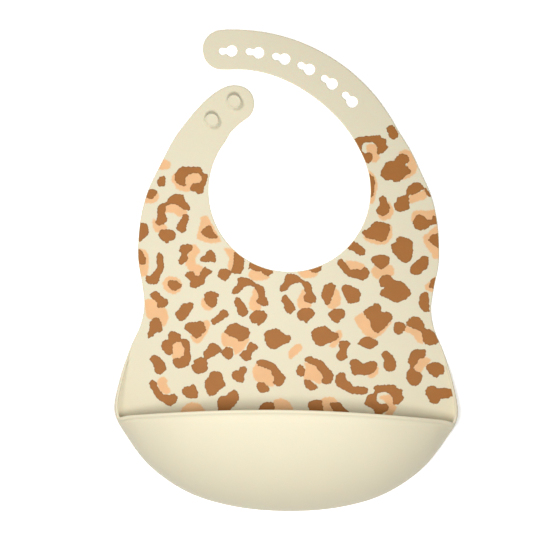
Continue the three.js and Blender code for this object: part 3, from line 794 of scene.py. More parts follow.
# The print, as outlines that are drawn corner by corner, and rounded as they are used.
# Those that reach past the sheet's edge, or below the lip, are cut off there.
BROWN_SPOTS = (
    # left shoulder
    ((-70.5, 66), (-64, 66.2), (-57.7, 65.9), (-56.5, 64.2), (-56.4, 62.3), (-53, 61.5), (-53.5, 57),
     (-55, 53), (-55.5, 49.6), (-58.3, 48.5), (-61, 49.7), (-64.3, 51.4), (-63.5, 55), (-60, 55.6),
     (-57.3, 56.4), (-57, 59.6), (-58.8, 62), (-64.3, 61.6), (-67, 59.6), (-67.5, 57), (-66.6, 54.1),
     (-69.6, 53.8), (-73.8, 56.6), (-74.3, 60.8), (-72.8, 63.5)),
    ((-81, 60.4), (-80.2, 57.5), (-80, 55), (-81.6, 53.4), (-84.5, 53.3), (-85.7, 55.5), (-84.8, 58.6),
     (-83, 60)),
    ((-90, 51.6), (-88, 51.4), (-85.4, 50.4), (-85.8, 48.2), (-88.2, 45.4), (-90.4, 44.8), (-93, 47)),
    ((-71.8, 48.8), (-68.2, 47.6), (-67.8, 45), (-65, 42), (-63.8, 39.3), (-65, 37.8), (-68.6, 38.7),
     (-71.1, 40.7), (-73.6, 41.9), (-76.4, 42.1), (-79.3, 41), (-79.7, 38), (-80.6, 35.7), (-78.7, 33),
     (-79.2, 30.4), (-84, 27.8), (-86.5, 29.6), (-85.3, 33), (-84.9, 40), (-82.5, 42.1), (-79.6, 43.2),
     (-77.9, 46), (-75, 48)),
    ((-67.1, 36), (-65, 35), (-64.8, 31.4), (-66, 29.3), (-66.4, 25), (-68.9, 23.4), (-71.4, 24.6),
     (-73, 25.7), (-71.8, 29.3), (-69.6, 33), (-68.6, 35)),
    ((-80, 25.7), (-74.6, 24.9), (-72.8, 22), (-74.3, 18.7), (-77, 17.8), (-78.7, 16.3), (-81.8, 18.6),
     (-84.5, 21.8), (-83, 25)),
    ((-97, 29.4), (-94, 29.5), (-91.8, 29), (-90.5, 24.4), (-91.6, 21), (-94.6, 18.8), (-96, 17),
     (-99, 19), (-99, 27)),
    ((-98, 12.5), (-95.4, 11.8), (-93.5, 9.3), (-91.9, 5.8), (-92.5, 2.8), (-95, 2.6), (-98, 4)),
    ((-83.6, 10.7), (-81.3, 9), (-80.6, 3.6), (-80.5, 0), (-82.9, -5.7), (-84.6, -10), (-90.7, -9.7),
     (-92.4, -7.1), (-91.8, -4.4), (-88.9, -4.3), (-86.8, -1.8), (-85, 0.5), (-85.2, 9)),
    ((-65, 16.2), (-62.5, 16.4), (-62, 13), (-65, 10.4), (-65, 6.4), (-66.8, 4.3), (-69.6, 2.4),
     (-71.4, 5.7), (-69.7, 8.2), (-69.3, 10.4), (-70.7, 11.8), (-69.4, 15.4)),
    ((-50.7, 13.1), (-47.8, 11.1), (-46.7, 8), (-47.2, 4.3), (-50.7, 5), (-56.8, 5), (-57.3, 7),
     (-54.3, 9), (-52.6, 12)),
    ((-34.8, 12), (-28, 9), (-28.6, 5.6), (-28.7, 1.4), (-30.6, -2.2), (-36.9, -2.2), (-36.7, 0.5),
     (-35.6, 4)),
    ((-43.6, 0.5), (-38.6, 0.2), (-37, -2.6), (-39.3, -6.4), (-41.1, -7.4), (-43.6, -6.1), (-45.7, -4.3),
     (-45.4, -1.4)),
    ((-54, 1.5), (-49, -1.1), (-50, -2.5), (-53.6, -5.8), (-54, -9.7), (-57.1, -10.5), (-60.4, -12.6),
     (-63.7, -11), (-63.3, -8), (-66.9, -3.9), (-65.7, -2), (-61.1, -1.3), (-60, -4), (-57.5, -4.2),
     (-56.4, -1.4), (-55.2, 0.7)),
    ((-76.8, -7.4), (-71.4, -7.9), (-68.5, -10.4), (-69.3, -12.2), (-73.6, -14.2), (-76.4, -12.5),
     (-78.1, -9.3)),
    ((-85.7, -14), (-82.9, -16), (-81.2, -18.2), (-77.2, -20.4), (-78.6, -24.4), (-83.9, -25.1),
     (-84.7, -21.8), (-89.7, -17.5), (-88.2, -15.7)),
    ((-64.6, -21.7), (-61, -21.3), (-61, -24.6), (-63.3, -28.7), (-65.5, -31.8), (-69.3, -33.8),
     (-71.2, -32), (-72.8, -28.7), (-70, -25.5), (-68.3, -22.5)),
    ((-50, -13.8), (-46.8, -14.6), (-44.3, -16.1), (-45.7, -18.6), (-45.7, -22.1), (-48.6, -25),
     (-52.9, -22), (-53.8, -20), (-54, -15.7)),
    ((-40.5, -25.5), (-37.8, -29), (-41, -32), (-45, -34.4), (-47.6, -35.9), (-49.3, -34.3),
     (-49.4, -32.3), (-46, -30), (-43.7, -26.8)),
    ((-32.9, -5.6), (-29.4, -4.5), (-25, -5.6), (-20.1, -8.9), (-16.4, -10), (-15, -12.5), (-14.6, -16.4),
     (-12.4, -20), (-12.8, -22.6), (-14.7, -23.5), (-18, -22.2), (-20.6, -20), (-19, -17.4), (-20, -14.2),
     (-21.5, -11), (-24, -10), (-28, -11), (-30.2, -13.2), (-32.1, -15), (-35, -16.2), (-36.4, -15.3),
     (-35.4, -11.8), (-32.5, -9.2)),
    ((-32, -17.6), (-30.6, -18.6), (-27.8, -22.1), (-25.3, -27.5), (-27.1, -29.7), (-29.6, -30.2),
     (-32.2, -28.2), (-33.7, -23.6), (-35, -21), (-33.7, -18)),
    ((-50.7, 28.8), (-48.5, 24.5), (-45.5, 20.7), (-49.3, 19.8), (-52.9, 20.6), (-57.2, 23.7),
     (-55.4, 26)),
    # lower left
    ((-85.4, -31.3), (-82.8, -32.5), (-80.6, -38), (-81.2, -40.8), (-85, -41.4), (-87.1, -44),
     (-90.6, -44.7), (-89.4, -39.3), (-89, -34.5)),
    ((-75.4, -40.1), (-68.9, -42.3), (-68.6, -45), (-65.7, -45), (-63, -47), (-62.6, -53.6),
     (-61.9, -58.6), (-63.6, -61.8), (-65.7, -63.6), (-69.6, -64.5), (-72.2, -63), (-74.2, -59),
     (-73.2, -57.7), (-69.6, -57.6), (-67, -55.4), (-66.5, -51.4), (-68.6, -47.5), (-71.4, -47.4),
     (-73.7, -48.7), (-73.8, -52), (-74, -55), (-76.8, -56), (-79.3, -54), (-81.4, -50.7), (-80.8, -47),
     (-77.3, -45.4), (-76.8, -42.5)),
    ((-64.3, -34.3), (-60, -34), (-55.4, -33.1), (-52.6, -38), (-53, -40.5), (-55.4, -41.9), (-56.4, -44),
     (-59.3, -44.4), (-63.6, -41.1), (-66.6, -38.4), (-65.9, -35.7)),
    ((-86.1, -55.6), (-83.3, -56.4), (-79.2, -60.4), (-77.9, -65), (-80.4, -68), (-82.9, -68.3),
     (-85.5, -66.4), (-86.2, -62), (-88.8, -58.9), (-88, -56.7)),
    ((-47.5, -47.3), (-44.6, -48.9), (-42.3, -51.8), (-47.1, -56.2), (-51.3, -58), (-51.3, -64.7),
     (-53.6, -66.9), (-57.9, -67.4), (-61.2, -65), (-61.8, -62), (-60.4, -61.4), (-60, -58.6),
     (-55, -56.7), (-53.6, -57.4), (-54, -53.6), (-51.4, -50.7), (-50.7, -48.2)),
    ((-38.9, -49.9), (-35.7, -50.4), (-34.6, -55), (-37.1, -58.1), (-39.3, -57.5), (-42.4, -54.3),
     (-41.8, -52)),
    ((-35, -34.3), (-32.5, -34.4), (-29.3, -36.1), (-25.3, -37.6), (-23.8, -40.7), (-25, -43.6),
     (-28, -45.5), (-31.2, -46.5), (-33.2, -44), (-37.3, -42.8), (-40.8, -40.3), (-38.5, -36.3)),
    ((-47.1, -65.3), (-42, -66.8), (-40.9, -70.7), (-39.2, -74.6), (-42.9, -77.6), (-47.1, -81.5),
     (-50, -81.7), (-51.5, -79.3), (-53.1, -74.3), (-52.2, -71.3), (-50.4, -69.2), (-49.6, -66.8)),
    ((-60.4, -73.5), (-58.9, -75.7), (-57, -80), (-57.5, -83), (-61.4, -83.8), (-64.3, -83),
     (-67.8, -79.3), (-66.4, -76.1), (-62.1, -75.4)),
    ((-86.8, -71.7), (-84.5, -73.2), (-80.7, -80), (-75, -81.4), (-72.5, -80.4), (-70.3, -83.2),
     (-71.4, -86.4), (-75, -88.8), (-78.6, -87.1), (-83.9, -83.6), (-86.5, -79.3), (-88.7, -75.7),
     (-88.3, -72.8)),
    ((-33.6, -77.4), (-31.7, -78.7), (-30.6, -83), (-32.9, -87.2), (-36.4, -91), (-38, -97), (-44, -96),
     (-44, -90.6), (-44.7, -85), (-42.9, -82), (-39.3, -81.4), (-36, -78.4)),
    ((-26.8, -62.2), (-25.5, -63.9), (-26.1, -66.1), (-27.4, -68), (-27.2, -70.7), (-28.2, -73),
     (-30.4, -72.8), (-34, -71), (-35.8, -68), (-34.6, -65.6), (-30.5, -64.2), (-30.4, -62.9)),
    ((-23.2, -46.5), (-21.1, -47.4), (-18.3, -50), (-21.1, -52.2), (-23.2, -54.6), (-23, -58),
     (-25, -58.8), (-27.9, -58.8), (-29, -57.1), (-30.7, -55), (-28.6, -52.4), (-26.4, -51.4),
     (-26, -48.9), (-24.7, -47)),
    # middle
    ((-21.4, -26.2), (-15.7, -26.2), (-12.8, -29.3), (-15, -33), (-18.3, -36.2), (-20, -34.4),
     (-22.5, -34.5), (-24.4, -31.8), (-24.7, -29.6), (-23.6, -27.8)),
    ((-24.4, 6), (-17, 5), (-9.5, 3), (-9.8, -1.6), (-13.4, -3.8), (-16, -2.6), (-17.5, -0.5),
     (-19.6, -1), (-22.8, 0.3), (-25.8, 0.3), (-25.3, 3.4)),
    ((13, 3), (21.9, 8), (21.8, 4), (20.7, 0.3), (18.6, -1.2), (16, -1), (13.6, 0.5)),
    ((-0.7, -2), (2.9, -1.9), (6.5, -3.2), (10, -6.3), (12.9, -7), (15, -8.9), (15.9, -13.6),
     (18.3, -17.1), (18.3, -19.6), (16.1, -21), (12.1, -20), (9.8, -17.9), (11.3, -14.3), (9.9, -10),
     (7.9, -7.9), (4.3, -8.2), (1.2, -10), (-0.4, -12.5), (-4.3, -13.7), (-5.8, -12.5), (-4.6, -9.6),
     (-2.1, -6.4), (-2.2, -3.9)),
    ((-1.8, -15.3), (0.1, -16.8), (3, -20.7), (5.5, -25.3), (3.6, -26.4), (1.8, -28.1), (-0.4, -27.1),
     (-2, -25), (-2.5, -22.1), (-4.2, -20), (-3.9, -17)),
    ((9.6, -24.3), (12.3, -23.8), (15, -24), (17.8, -27.1), (16.8, -29.3), (14.3, -31.5), (12.1, -34),
     (10, -32.1), (7.8, -32.1), (6, -29.3), (6, -27.1)),
    ((-10, -38), (-7.9, -37.3), (-5, -38.2), (-1.8, -41.1), (2.1, -41.8), (2.3, -45), (0, -47.1),
     (-2.5, -48), (-6.4, -50.5), (-10, -51), (-11.8, -50), (-13.9, -46.8), (-15.1, -41.4),
     (-13.7, -39.3)),
    ((20.7, -36), (24.3, -35.1), (26.4, -36.4), (28.6, -38.9), (33.2, -40), (33, -43.2), (29.6, -45.4),
     (25, -47.6), (21.4, -48.8), (18.1, -47.1), (16, -42.9), (15.6, -39.3), (17.9, -37)),
    ((-16.4, -57.4), (-12.9, -58.1), (-7.9, -60.3), (-4.2, -65), (-0.6, -68.9), (-2.1, -73),
     (-5.4, -75.1), (-8.7, -73), (-7.9, -70), (-10, -66.5), (-10.2, -64.8), (-14.3, -62.9),
     (-18.9, -61.5), (-19.6, -58.9)),
    ((-17.5, -72), (-14.3, -72.8), (-10.6, -76.8), (-11.8, -78.3), (-15.7, -79.5), (-18.3, -78.2),
     (-19.7, -73.8)),
    ((14.3, -55), (17.9, -56.2), (22.9, -58.1), (25.8, -61.4), (29.3, -65), (30.5, -67.5), (28.6, -72.2),
     (25.7, -73.3), (22.4, -71.4), (23.6, -68.6), (21.3, -65), (19.2, -62.2), (15, -59.7), (11.7, -58.6),
     (11.3, -56.3)),
    ((8.2, -60.3), (10.7, -61.8), (11.9, -64.6), (11.3, -67.5), (9.3, -68.5), (7.1, -67.1), (6, -65),
     (7, -62)),
    ((12.1, -70), (15.7, -70.8), (20.5, -75), (18.9, -76.5), (15, -77.4), (12.9, -75.7), (11, -71.4)),
    ((-13.8, -85.3), (-8.2, -85.4), (-7.5, -90), (-8, -97), (-16, -97), (-17.5, -88.5)),
    ((14, -85.4), (18.2, -83.1), (22.8, -83.5), (23.7, -87), (23.8, -97), (15.5, -97), (15, -90),
     (13.8, -87)),
    ((28.3, -84.9), (34.7, -84.8), (37, -87.5), (41, -91.3), (42, -97), (31, -97), (30.5, -90),
     (28.4, -87.2)),
    # right shoulder
    ((62.1, 93.3), (65.7, 95.2), (69.4, 91.1), (70, 88.2), (68.2, 86.2), (65.7, 85.8), (64.2, 86.8),
     (63.2, 90), (61.7, 92.9)),
    ((42, 86.7), (44.6, 87.2), (50, 87.8), (58.2, 88.4), (59.3, 86.5), (61.9, 86.2), (62.2, 82.5),
     (63.6, 80.4), (59.6, 76.8), (56.3, 76), (56.3, 80.5), (54.8, 83), (50.8, 83.9), (47.5, 83),
     (46.3, 81.4), (46.4, 78.6), (48.3, 76.8), (52.4, 76.9), (53.9, 74), (52.8, 71.6), (49.6, 69.8),
     (46.5, 74), (43, 79), (41.5, 83)),
    ((72.1, 76.9), (75, 76.2), (78, 73.2), (76.4, 71), (74.3, 69.6), (77.1, 67.5), (78.6, 65),
     (74.3, 61.7), (70.7, 58.6), (67.1, 58.8), (65.7, 60), (63.2, 59), (59.5, 61.4), (58.5, 63.2),
     (60.4, 68), (63.6, 71.9), (67.1, 72.2), (69.6, 75.5)),
    ((49, 65.5), (51.2, 63.7), (54.6, 61.1), (55.2, 57.9), (54.9, 52.8), (53.9, 48.8), (50, 48)),
    ((60.4, 49.4), (62.9, 47.9), (63.7, 45), (65, 42.9), (64.4, 38.6), (62.1, 36.7), (59.6, 36.1),
     (57, 37.9), (56, 40), (57.9, 43), (58.3, 45.7), (57.6, 47.6), (58.8, 49)),
    ((80.7, 58.5), (83.6, 58.7), (86.6, 55.6), (88.4, 55), (91.5, 49.3), (89, 49.6), (87.4, 53.3),
     (85, 53), (81.4, 50.7), (77.4, 49.8), (77.6, 46.4), (77.6, 41.4), (75.7, 40), (70.7, 39.2),
     (67.4, 42.1), (67.8, 44.3), (68.9, 45.5), (69.6, 48.3), (73.6, 49.9), (75.5, 50.4), (75.3, 53),
     (77.9, 56.8)),
    ((55.7, 32.6), (59.3, 32.6), (65.1, 30.7), (64.4, 23.6), (62.5, 20.4), (60, 19.5), (55, 21),
     (49.3, 22.4), (46.9, 26.4), (51.4, 28), (53.6, 30.8)),
    ((82.9, 37.4), (86.4, 37.2), (89.3, 34.3), (92.6, 34.6), (93.2, 37), (97, 36), (96, 32), (91.4, 30.6),
     (90, 28.8), (84.3, 27.2), (81.3, 28.9), (79.9, 33), (81.3, 35.5)),
    ((92.9, 24.7), (98, 25.3), (98.5, 16), (94.8, 17), (92.6, 18.6), (90.3, 21.1), (91, 23.4)),
    ((72.1, 23.3), (75, 22.9), (80.1, 20.1), (80, 10), (77.9, 6.7), (75, 6), (72.1, 7.8), (67, 13.6),
     (66.3, 17.9), (69.2, 19.3), (69.9, 22.5)),
    ((86.4, 10.5), (90.5, 10.5), (90.1, 3.6), (87.1, 1), (84.6, -1.4), (80, -1.2), (78.5, 1.8), (80, 5),
     (83.2, 8)),
    ((92.3, -4), (96, -3), (96, -10), (91.2, -9.6), (91.5, -7)),
    ((88.6, -12), (90.8, -12.9), (91.3, -19), (91.7, -25.1), (88.2, -25.2), (86.3, -23.6), (84.5, -20.7),
     (85, -15.7), (86.7, -12.9)),
    ((41.8, 20.1), (44.3, 18.7), (49.6, 14.4), (50.1, 12.5), (48.2, 10.6), (45.4, 10.6), (42.5, 12.8),
     (37.8, 15), (39.3, 18), (40.7, 19.7)),
    ((32.5, 8.4), (34.6, 8), (37.9, 4.4), (40.7, 1.4), (44.3, 1.8), (46.8, 1), (49.6, 3.3), (51.9, 1.4),
     (52.6, -0.7), (51.1, -4), (48.2, -5.5), (45, -4.7), (38.6, -3), (34.3, 1.3), (31.7, 5)),
    ((58.6, 11.4), (65, 10.1), (65.5, 5.7), (60, 1.7), (57.1, 3.5), (55, 5.3), (53.1, 7.5), (54.6, 10)),
    ((65, -1.5), (67.1, -3.1), (70, -5.6), (72.1, -5.3), (75.7, -7.5), (79.8, -13.6), (77.1, -16.9),
     (74.3, -18.3), (71.4, -19.4), (68.6, -19.5), (65, -17.2), (59.2, -14.6), (60, -12), (62.5, -9.7),
     (60, -9.3), (58.5, -6.4), (60.4, -2.8)),
    ((27.9, -7.2), (30.8, -9.3), (29.6, -14.3), (28.2, -18.2), (27.5, -20.5), (25, -22.1), (23.1, -19.3),
     (21.3, -16.1), (22.1, -12.9), (23.6, -8.8), (25.7, -8.1)),
    ((35.4, -8.8), (37.5, -8.2), (40.7, -9.2), (45, -11), (47.4, -14.3), (46.4, -16.4), (46.4, -19),
     (43.2, -20.5), (38.6, -20.5), (37.1, -17.1), (34.5, -12.1), (34.4, -10)),
    ((29.3, -24.5), (35.7, -24.3), (37.4, -26.4), (37.1, -28.6), (34.3, -31.5), (32.5, -33.9),
     (30.7, -33.3), (27.5, -30.4), (26, -27.5), (27.9, -26)),
    ((56.4, -19.9), (60, -21.3), (60.8, -25.6), (65.2, -25.6), (68.1, -29.3), (65.6, -33), (61.4, -37.5),
     (58.5, -39.3), (55.6, -38.3), (53.8, -35), (53.1, -31), (51, -29.6), (48.9, -25.7), (51.3, -23.5),
     (54.6, -21.8)),
    # lower right
    ((50.7, -41.7), (53.9, -42.4), (58.3, -44.3), (58.7, -46.4), (55.7, -49.4), (52.9, -50.1),
     (50.4, -49), (45.6, -46.6), (47.5, -43.5)),
    ((63.9, -50.6), (66.4, -52), (70, -56.3), (70.7, -61.4), (69.3, -63.7), (66.4, -64.5), (63.6, -63),
     (62.4, -61.4), (62.8, -56.8), (60.6, -53.6), (61.8, -51.7)),
    ((43.9, -56.5), (46.1, -57), (49.3, -59.4), (51, -58.7), (53.2, -57.8), (57.1, -57.6), (58.7, -60),
     (57.1, -64.4), (50.7, -67.1), (46.8, -66.4), (44.3, -67.4), (42.4, -66.1), (41, -60.7),
     (40.5, -58.6), (41.8, -57)),
    ((69.3, -32.6), (72.1, -31.9), (75, -32.6), (76.7, -35.4), (75, -38.6), (72.1, -40.3), (69.2, -39.3),
     (68.6, -36.8)),
    ((81.4, -28.1), (85.1, -28.9), (88.8, -33.8), (88.4, -36.4), (92.1, -36.5), (95, -38.5),
     (98.6, -44.3), (95.4, -46.5), (91.4, -46.9), (88.1, -45.4), (87.4, -42.1), (86.7, -38.5),
     (84.8, -37.4), (80.7, -35.8), (76.2, -33.6), (79, -29.5)),
    ((82.5, -49.8), (89.5, -49.8), (89.7, -52.9), (88.2, -55.1), (85.7, -55.7), (84.4, -58.2),
     (82.2, -60.8), (82.5, -62.9), (86.4, -64.5), (88.1, -67.1), (86.4, -71.5), (84.3, -73),
     (81.4, -73.3), (78.5, -71.4), (77.2, -67.1), (77.8, -64.3), (79.6, -61.4), (79.3, -59.6),
     (77.8, -58.2), (78.9, -54.6), (80.4, -51.3)),
    ((91.4, -59), (95.7, -57.6), (100, -58.8), (102.1, -61.4), (101.2, -65.5), (98.6, -66.2), (96.8, -68),
     (95, -67.2), (90.6, -63.2), (89.8, -61)),
    ((94.3, -72.6), (97.9, -74.5), (104.3, -74.2), (106.4, -75), (107.9, -78.9), (102.9, -81.4),
     (100, -81.2), (98.6, -84), (95.7, -85), (93.2, -83.7), (91.3, -80.7), (89.5, -77), (91.1, -73.8)),
    ((56.8, -73.5), (63, -73), (70.7, -72.8), (71.4, -74.9), (74.7, -75.3), (75.2, -80), (76.2, -81.4),
     (72.1, -85.5), (68.8, -85.5), (68.9, -82.5), (67.9, -80), (65.7, -78), (62.9, -77.4), (59.3, -78.5),
     (58.3, -80), (58.5, -82.9), (60.4, -85.1), (65, -85), (66.5, -88.2), (64.3, -90.1), (61.8, -92.4),
     (57.9, -92.2), (56, -88.6), (50.3, -85.5), (51.4, -82.9), (52.9, -79.2), (56.4, -78.6), (56.8, -77),
     (56.2, -75)),
    ((35.4, -65), (37.9, -65.7), (38.4, -69.4), (41.1, -71.4), (43, -73.8), (45.7, -74.1), (52.1, -74.9),
     (53, -76.8), (51.8, -78.7), (47.9, -79.4), (42.1, -79), (38.4, -77.2), (34.2, -75.3), (31.7, -72.9),
     (31.3, -68.9), (33.2, -66)),
    ((33.9, -45), (37.1, -44.8), (40.4, -45.3), (40.8, -46.8), (39.4, -49.4), (38.5, -52.1),
     (39.2, -55.4), (36.4, -57.6), (34.3, -57.8), (31.3, -55), (32.1, -53.2), (33.9, -50.6),
     (33.5, -47.9)),
)

PEACH_PATCHES = (
    ((-74.5, 62), (-76.6, 58.5), (-75, 55), (-72.5, 51.3), (-66, 50), (-62, 52), (-57, 54), (-56, 60),
     (-60, 63.5)),
    ((-87, 70), (-80.5, 70.8), (-77, 68.5), (-77.5, 65), (-81, 63.9), (-87, 64.5)),
    ((-93, 50), (-85.5, 49.5), (-84.2, 47), (-86, 43), (-93, 42.5)),
    ((-80, 43), (-72, 42), (-66, 38.5), (-66.3, 35.5), (-71, 33.6), (-74, 35.7), (-78.6, 36.4), (-81, 35),
     (-81, 40)),
    ((-88, 33), (-84, 30), (-79.5, 28.5), (-78.5, 26), (-82.5, 23.5), (-86, 23.5), (-88.3, 28)),
    ((-98, 12.8), (-92.8, 12.2), (-90.4, 9), (-90.4, 0), (-91.5, -5), (-97, -4)),
    ((-62.5, 16.3), (-59, 15), (-57, 11.5), (-59.7, 8), (-60.3, 3), (-62.5, 1), (-66.5, 2.5), (-66.5, 6),
     (-64.5, 12)),
    ((-42, 14), (-34, 13), (-33, 6), (-36.2, 0), (-37, -3.6), (-39, -2), (-39, 4), (-38.3, 7.5)),
    ((-66, 2), (-61, 3.6), (-56, 2.5), (-54, 0), (-56, -5), (-61, -5.5), (-63, -2)),
    ((-77.5, -4.8), (-71.5, -5.6), (-68.6, -9), (-69.5, -14), (-74, -16.5), (-79.5, -14), (-81.5, -9)),
    ((-92.4, -20), (-86, -19.5), (-80.5, -24), (-77.5, -28), (-77, -33), (-80, -37.5), (-84, -34),
     (-90.7, -32)),
    ((-54.5, -18), (-56.3, -21), (-54.8, -25), (-51.3, -26.5), (-48, -25.3), (-50, -20)),
    ((-57, 34), (-53, 35), (-50.5, 31), (-46, 23), (-43.5, 18.5), (-49, 16.7), (-54, 17.7), (-59.5, 19.8),
     (-58.7, 25), (-57.5, 30)),
    ((-75, -47), (-67, -46), (-65.5, -52), (-68, -59), (-74, -58), (-74.5, -53)),
    ((-56, -34), (-51.3, -32.6), (-49.7, -36), (-51, -39), (-53, -43), (-57, -48), (-60, -47.5),
     (-62.5, -43), (-58, -40)),
    ((-80, -69.5), (-77.2, -71), (-77, -75), (-74.6, -79.6), (-78, -81.5), (-81.5, -79.3), (-83.8, -74.8),
     (-83, -71.5)),
    ((-61.5, -86), (-56, -87), (-52.5, -91), (-52.5, -97), (-68, -97), (-68, -91), (-65, -87.5)),
    ((-42.3, -41), (-36, -41), (-30, -44), (-24, -44.5), (-26, -48), (-27.4, -50.5), (-30, -53),
     (-34, -54.8), (-35.5, -50), (-41, -49.6), (-43, -45)),
    ((-24, 0.5), (-18, 1), (-14, -2), (-11.8, -5), (-16, -6.5), (-20, -7), (-24, -6), (-26, -3.5)),
    ((6.5, -0.5), (13, 1), (19, -0.5), (19.5, -2.3), (15, -4.4), (10, -4.9), (7.2, -2.8)),
    ((-22, -11.5), (-19, -13), (-18.5, -18), (-17, -23.5), (-18, -26), (-21.4, -27.3), (-24.6, -25),
     (-24.9, -20.5), (-23, -15.5)),
    ((10, -11.5), (12, -15), (12.5, -20), (15.8, -21.5), (13, -24.8), (9, -25.3), (6.4, -23), (6, -19),
     (8, -14.5)),
    ((31, -38.5), (34, -37.8), (35.8, -41), (34.2, -45), (30.2, -49.4), (27, -48.5), (30, -44)),
    ((6, -47.3), (9.3, -47.3), (10, -50), (6.5, -54), (2.5, -57.2), (0.9, -56), (0.9, -52.3),
     (3.2, -49.3)),
    ((-20, -60.5), (-13, -61.5), (-9, -65), (-7, -70), (-8.5, -75), (-13, -74.5), (-18.5, -72.5),
     (-20.7, -71), (-22.3, -66), (-21.6, -62.5)),
    ((11.5, -59), (19, -60), (23, -65), (24, -70.5), (21.3, -73), (17, -71), (11.3, -70.3), (10.8, -67),
     (12, -63)),
    ((-7.5, -83.2), (-2, -82.6), (1.5, -84.4), (4.2, -88.5), (5.2, -92), (5, -97), (-9, -97),
     (-8.6, -85)),
    ((22, -83), (25, -81.5), (30, -81), (33.2, -83.8), (33, -87), (30, -97), (23, -97)),
    ((49, 81.5), (52, 83), (55.5, 82.5), (57.5, 77), (58, 73.2), (55.5, 70.7), (52, 71.5), (50, 76)),
    ((70, 77), (73.5, 79.3), (77, 79.2), (80.5, 73.5), (82.5, 68.5), (81.3, 64.3), (77, 61), (73, 59.8),
     (75, 66), (76, 72)),
    ((51, 66), (55.3, 62), (57, 57), (56, 50), (54.5, 44.3), (51, 44.5), (52, 50)),
    ((64, 46), (66.5, 43), (67.8, 38.5), (65.2, 34.6), (60.5, 33.2), (58, 35.5), (57.5, 39), (62, 40)),
    ((77.5, 50), (85, 52.5), (87.3, 54.5), (89.6, 50), (88, 47.6), (83, 46), (77.5, 44.7)),
    ((47, 23.5), (50, 20), (58, 17.5), (63, 18.4), (66.5, 22), (67, 28), (65.2, 31), (60, 25), (50, 25)),
    ((79, 36.5), (80.3, 39.6), (84, 40.4), (90, 40.2), (94, 41), (97, 38), (95, 33), (90, 33), (82, 33),
     (79.3, 32.5)),
    ((96.5, 31), (92, 28.3), (90, 25.6), (87.3, 24.5), (87, 20), (89, 16.5), (92, 13), (93.3, 9.6),
     (98.5, 9), (98.5, 25)),
    ((36, 7.5), (40, 7.1), (48, 5.6), (50, 3), (46, -1), (40, -1), (37, 4)),
    ((56, 4), (66, 5), (68.5, 2), (68, -2), (64, -4), (60, -3), (58, -5), (55.5, -3.5), (53.3, 0.5)),
    ((95, -2), (91.5, -5.5), (88.4, -8), (88.5, -10.5), (91, -12), (95, -12)),
    ((30, -10.5), (32, -11.5), (34.5, -18), (33.6, -22), (29, -24.6), (25, -22.6), (27.5, -19.5),
     (29, -15)),
    ((43, -30), (48.5, -26.2), (52, -30), (60, -35), (67.8, -31.5), (65, -36), (60.3, -41), (56, -43.5),
     (52, -42.5), (48, -38.3), (45.3, -35)),
    ((57, -60), (59.6, -62), (58.7, -66), (55.5, -68.6), (52, -67.8), (53, -65)),
    ((76, -34), (80, -35.5), (86, -37.5), (88.3, -42), (87.5, -46.3), (84, -44.7), (81.5, -41),
     (78, -38.9), (75.3, -38)),
    ((84, -56), (88, -54.5), (91, -55), (93.5, -56.3), (91, -59.5), (88, -62.5), (87.2, -65), (83, -63.7),
     (81.3, -60.7)),
    ((59, -81), (63, -79.6), (68, -79.3), (69.5, -84), (71.6, -87), (69.3, -91), (68, -97), (62, -97),
     (65, -88), (63, -83)),
)

def closed_curve(points, spacing, roundness=1.0):
    """Evenly spaced points on a closed spline through the given points."""
    overlap = 3
    looped = [*points[-overlap:], *points, *points[:overlap]]
    curve = smooth_curve(looped, spacing, roundness)
    first = np.array(points[0], float)
    half = len(curve) // 2
    begin = np.argmin(np.linalg.norm(curve[:half] - first, axis=1))
    end = half + np.argmin(np.linalg.norm(curve[half:] - first, axis=1))
    return curve[begin:end + 1]


def distance_outside(places, outlines):
    """For each place, its distance outside the nearest outline, or minus its depth inside one."""
    nearest = np.full(len(places), FAR)
    for outline in outlines:
        curve = closed_curve(outline, SPOT_SPACING, SPOT_ROUNDNESS)[:-1]
        low, high = curve.min(axis=0) - FAR, curve.max(axis=0) + FAR
        near = np.where(((places > low) & (places < high)).all(axis=1))[0]
        spans = np.roll(curve, -1, axis=0) - curve
        offsets = places[near][:, None, :] - curve[None]
        share = np.clip((offsets * spans).sum(axis=2) / (spans * spans).sum(axis=1), 0, 1)
        gaps = np.linalg.norm(offsets - share[:, :, None] * spans, axis=2).min(axis=1)
        gaps[inside(places[near], [curve])] *= -1
        nearest[near] = np.minimum(nearest[near], gaps)
    return nearest


def add_print(made):
    """Stores the print on the sheet's flat front: how far each point is outside its patches."""
    mesh = made.data
    places = places_of(mesh).reshape(-1, 3).astype(float) / MM
    heights = places[:, 2]
    front = (heights > SHEET - BELOW_FRONT) & (heights < SHEET + ABOVE_FRONT)
    front &= places[:, 1] > PRINT_ENDS_Y
    for name, outlines in (("brown_print", BROWN_SPOTS), ("peach_print", PEACH_PATCHES)):
        values = np.full(len(places), FAR)
        values[front] = distance_outside(places[front][:, :2], outlines)
        mesh.attributes.new(name, "FLOAT", "POINT").data.foreach_set("value", values.astype(np.float32))


# ---------------------------------------------------------------- materials

# Sizes of the patterns, and how far light spreads in the rubber, in millimetres. The blasted tool's
# grain is about a tenth of a millimetre, and is drawn coarser so that it shows.
CLOUD_SIZE = 22
GRAIN_SIZE = 0.9
GRAIN_DEPTH = 0.05
RAGGED_SIZE = 1.7
RAGGED_REACH = 1.0
POOL_WIDTH = 1.0
INK_PATCH_SIZE = 9
LIGHT_REACH = 1.5


def linear(colour):
    """A linear colour from an sRGB hex string."""
    channels = [int(colour[i:i + 2], 16) / 255 for i in (1, 3, 5)]
    return tuple(c / 12.92 if c <= 0.04045 else ((c + 0.055) / 1.055) ** 2.4 for c in channels) + (1.0,)


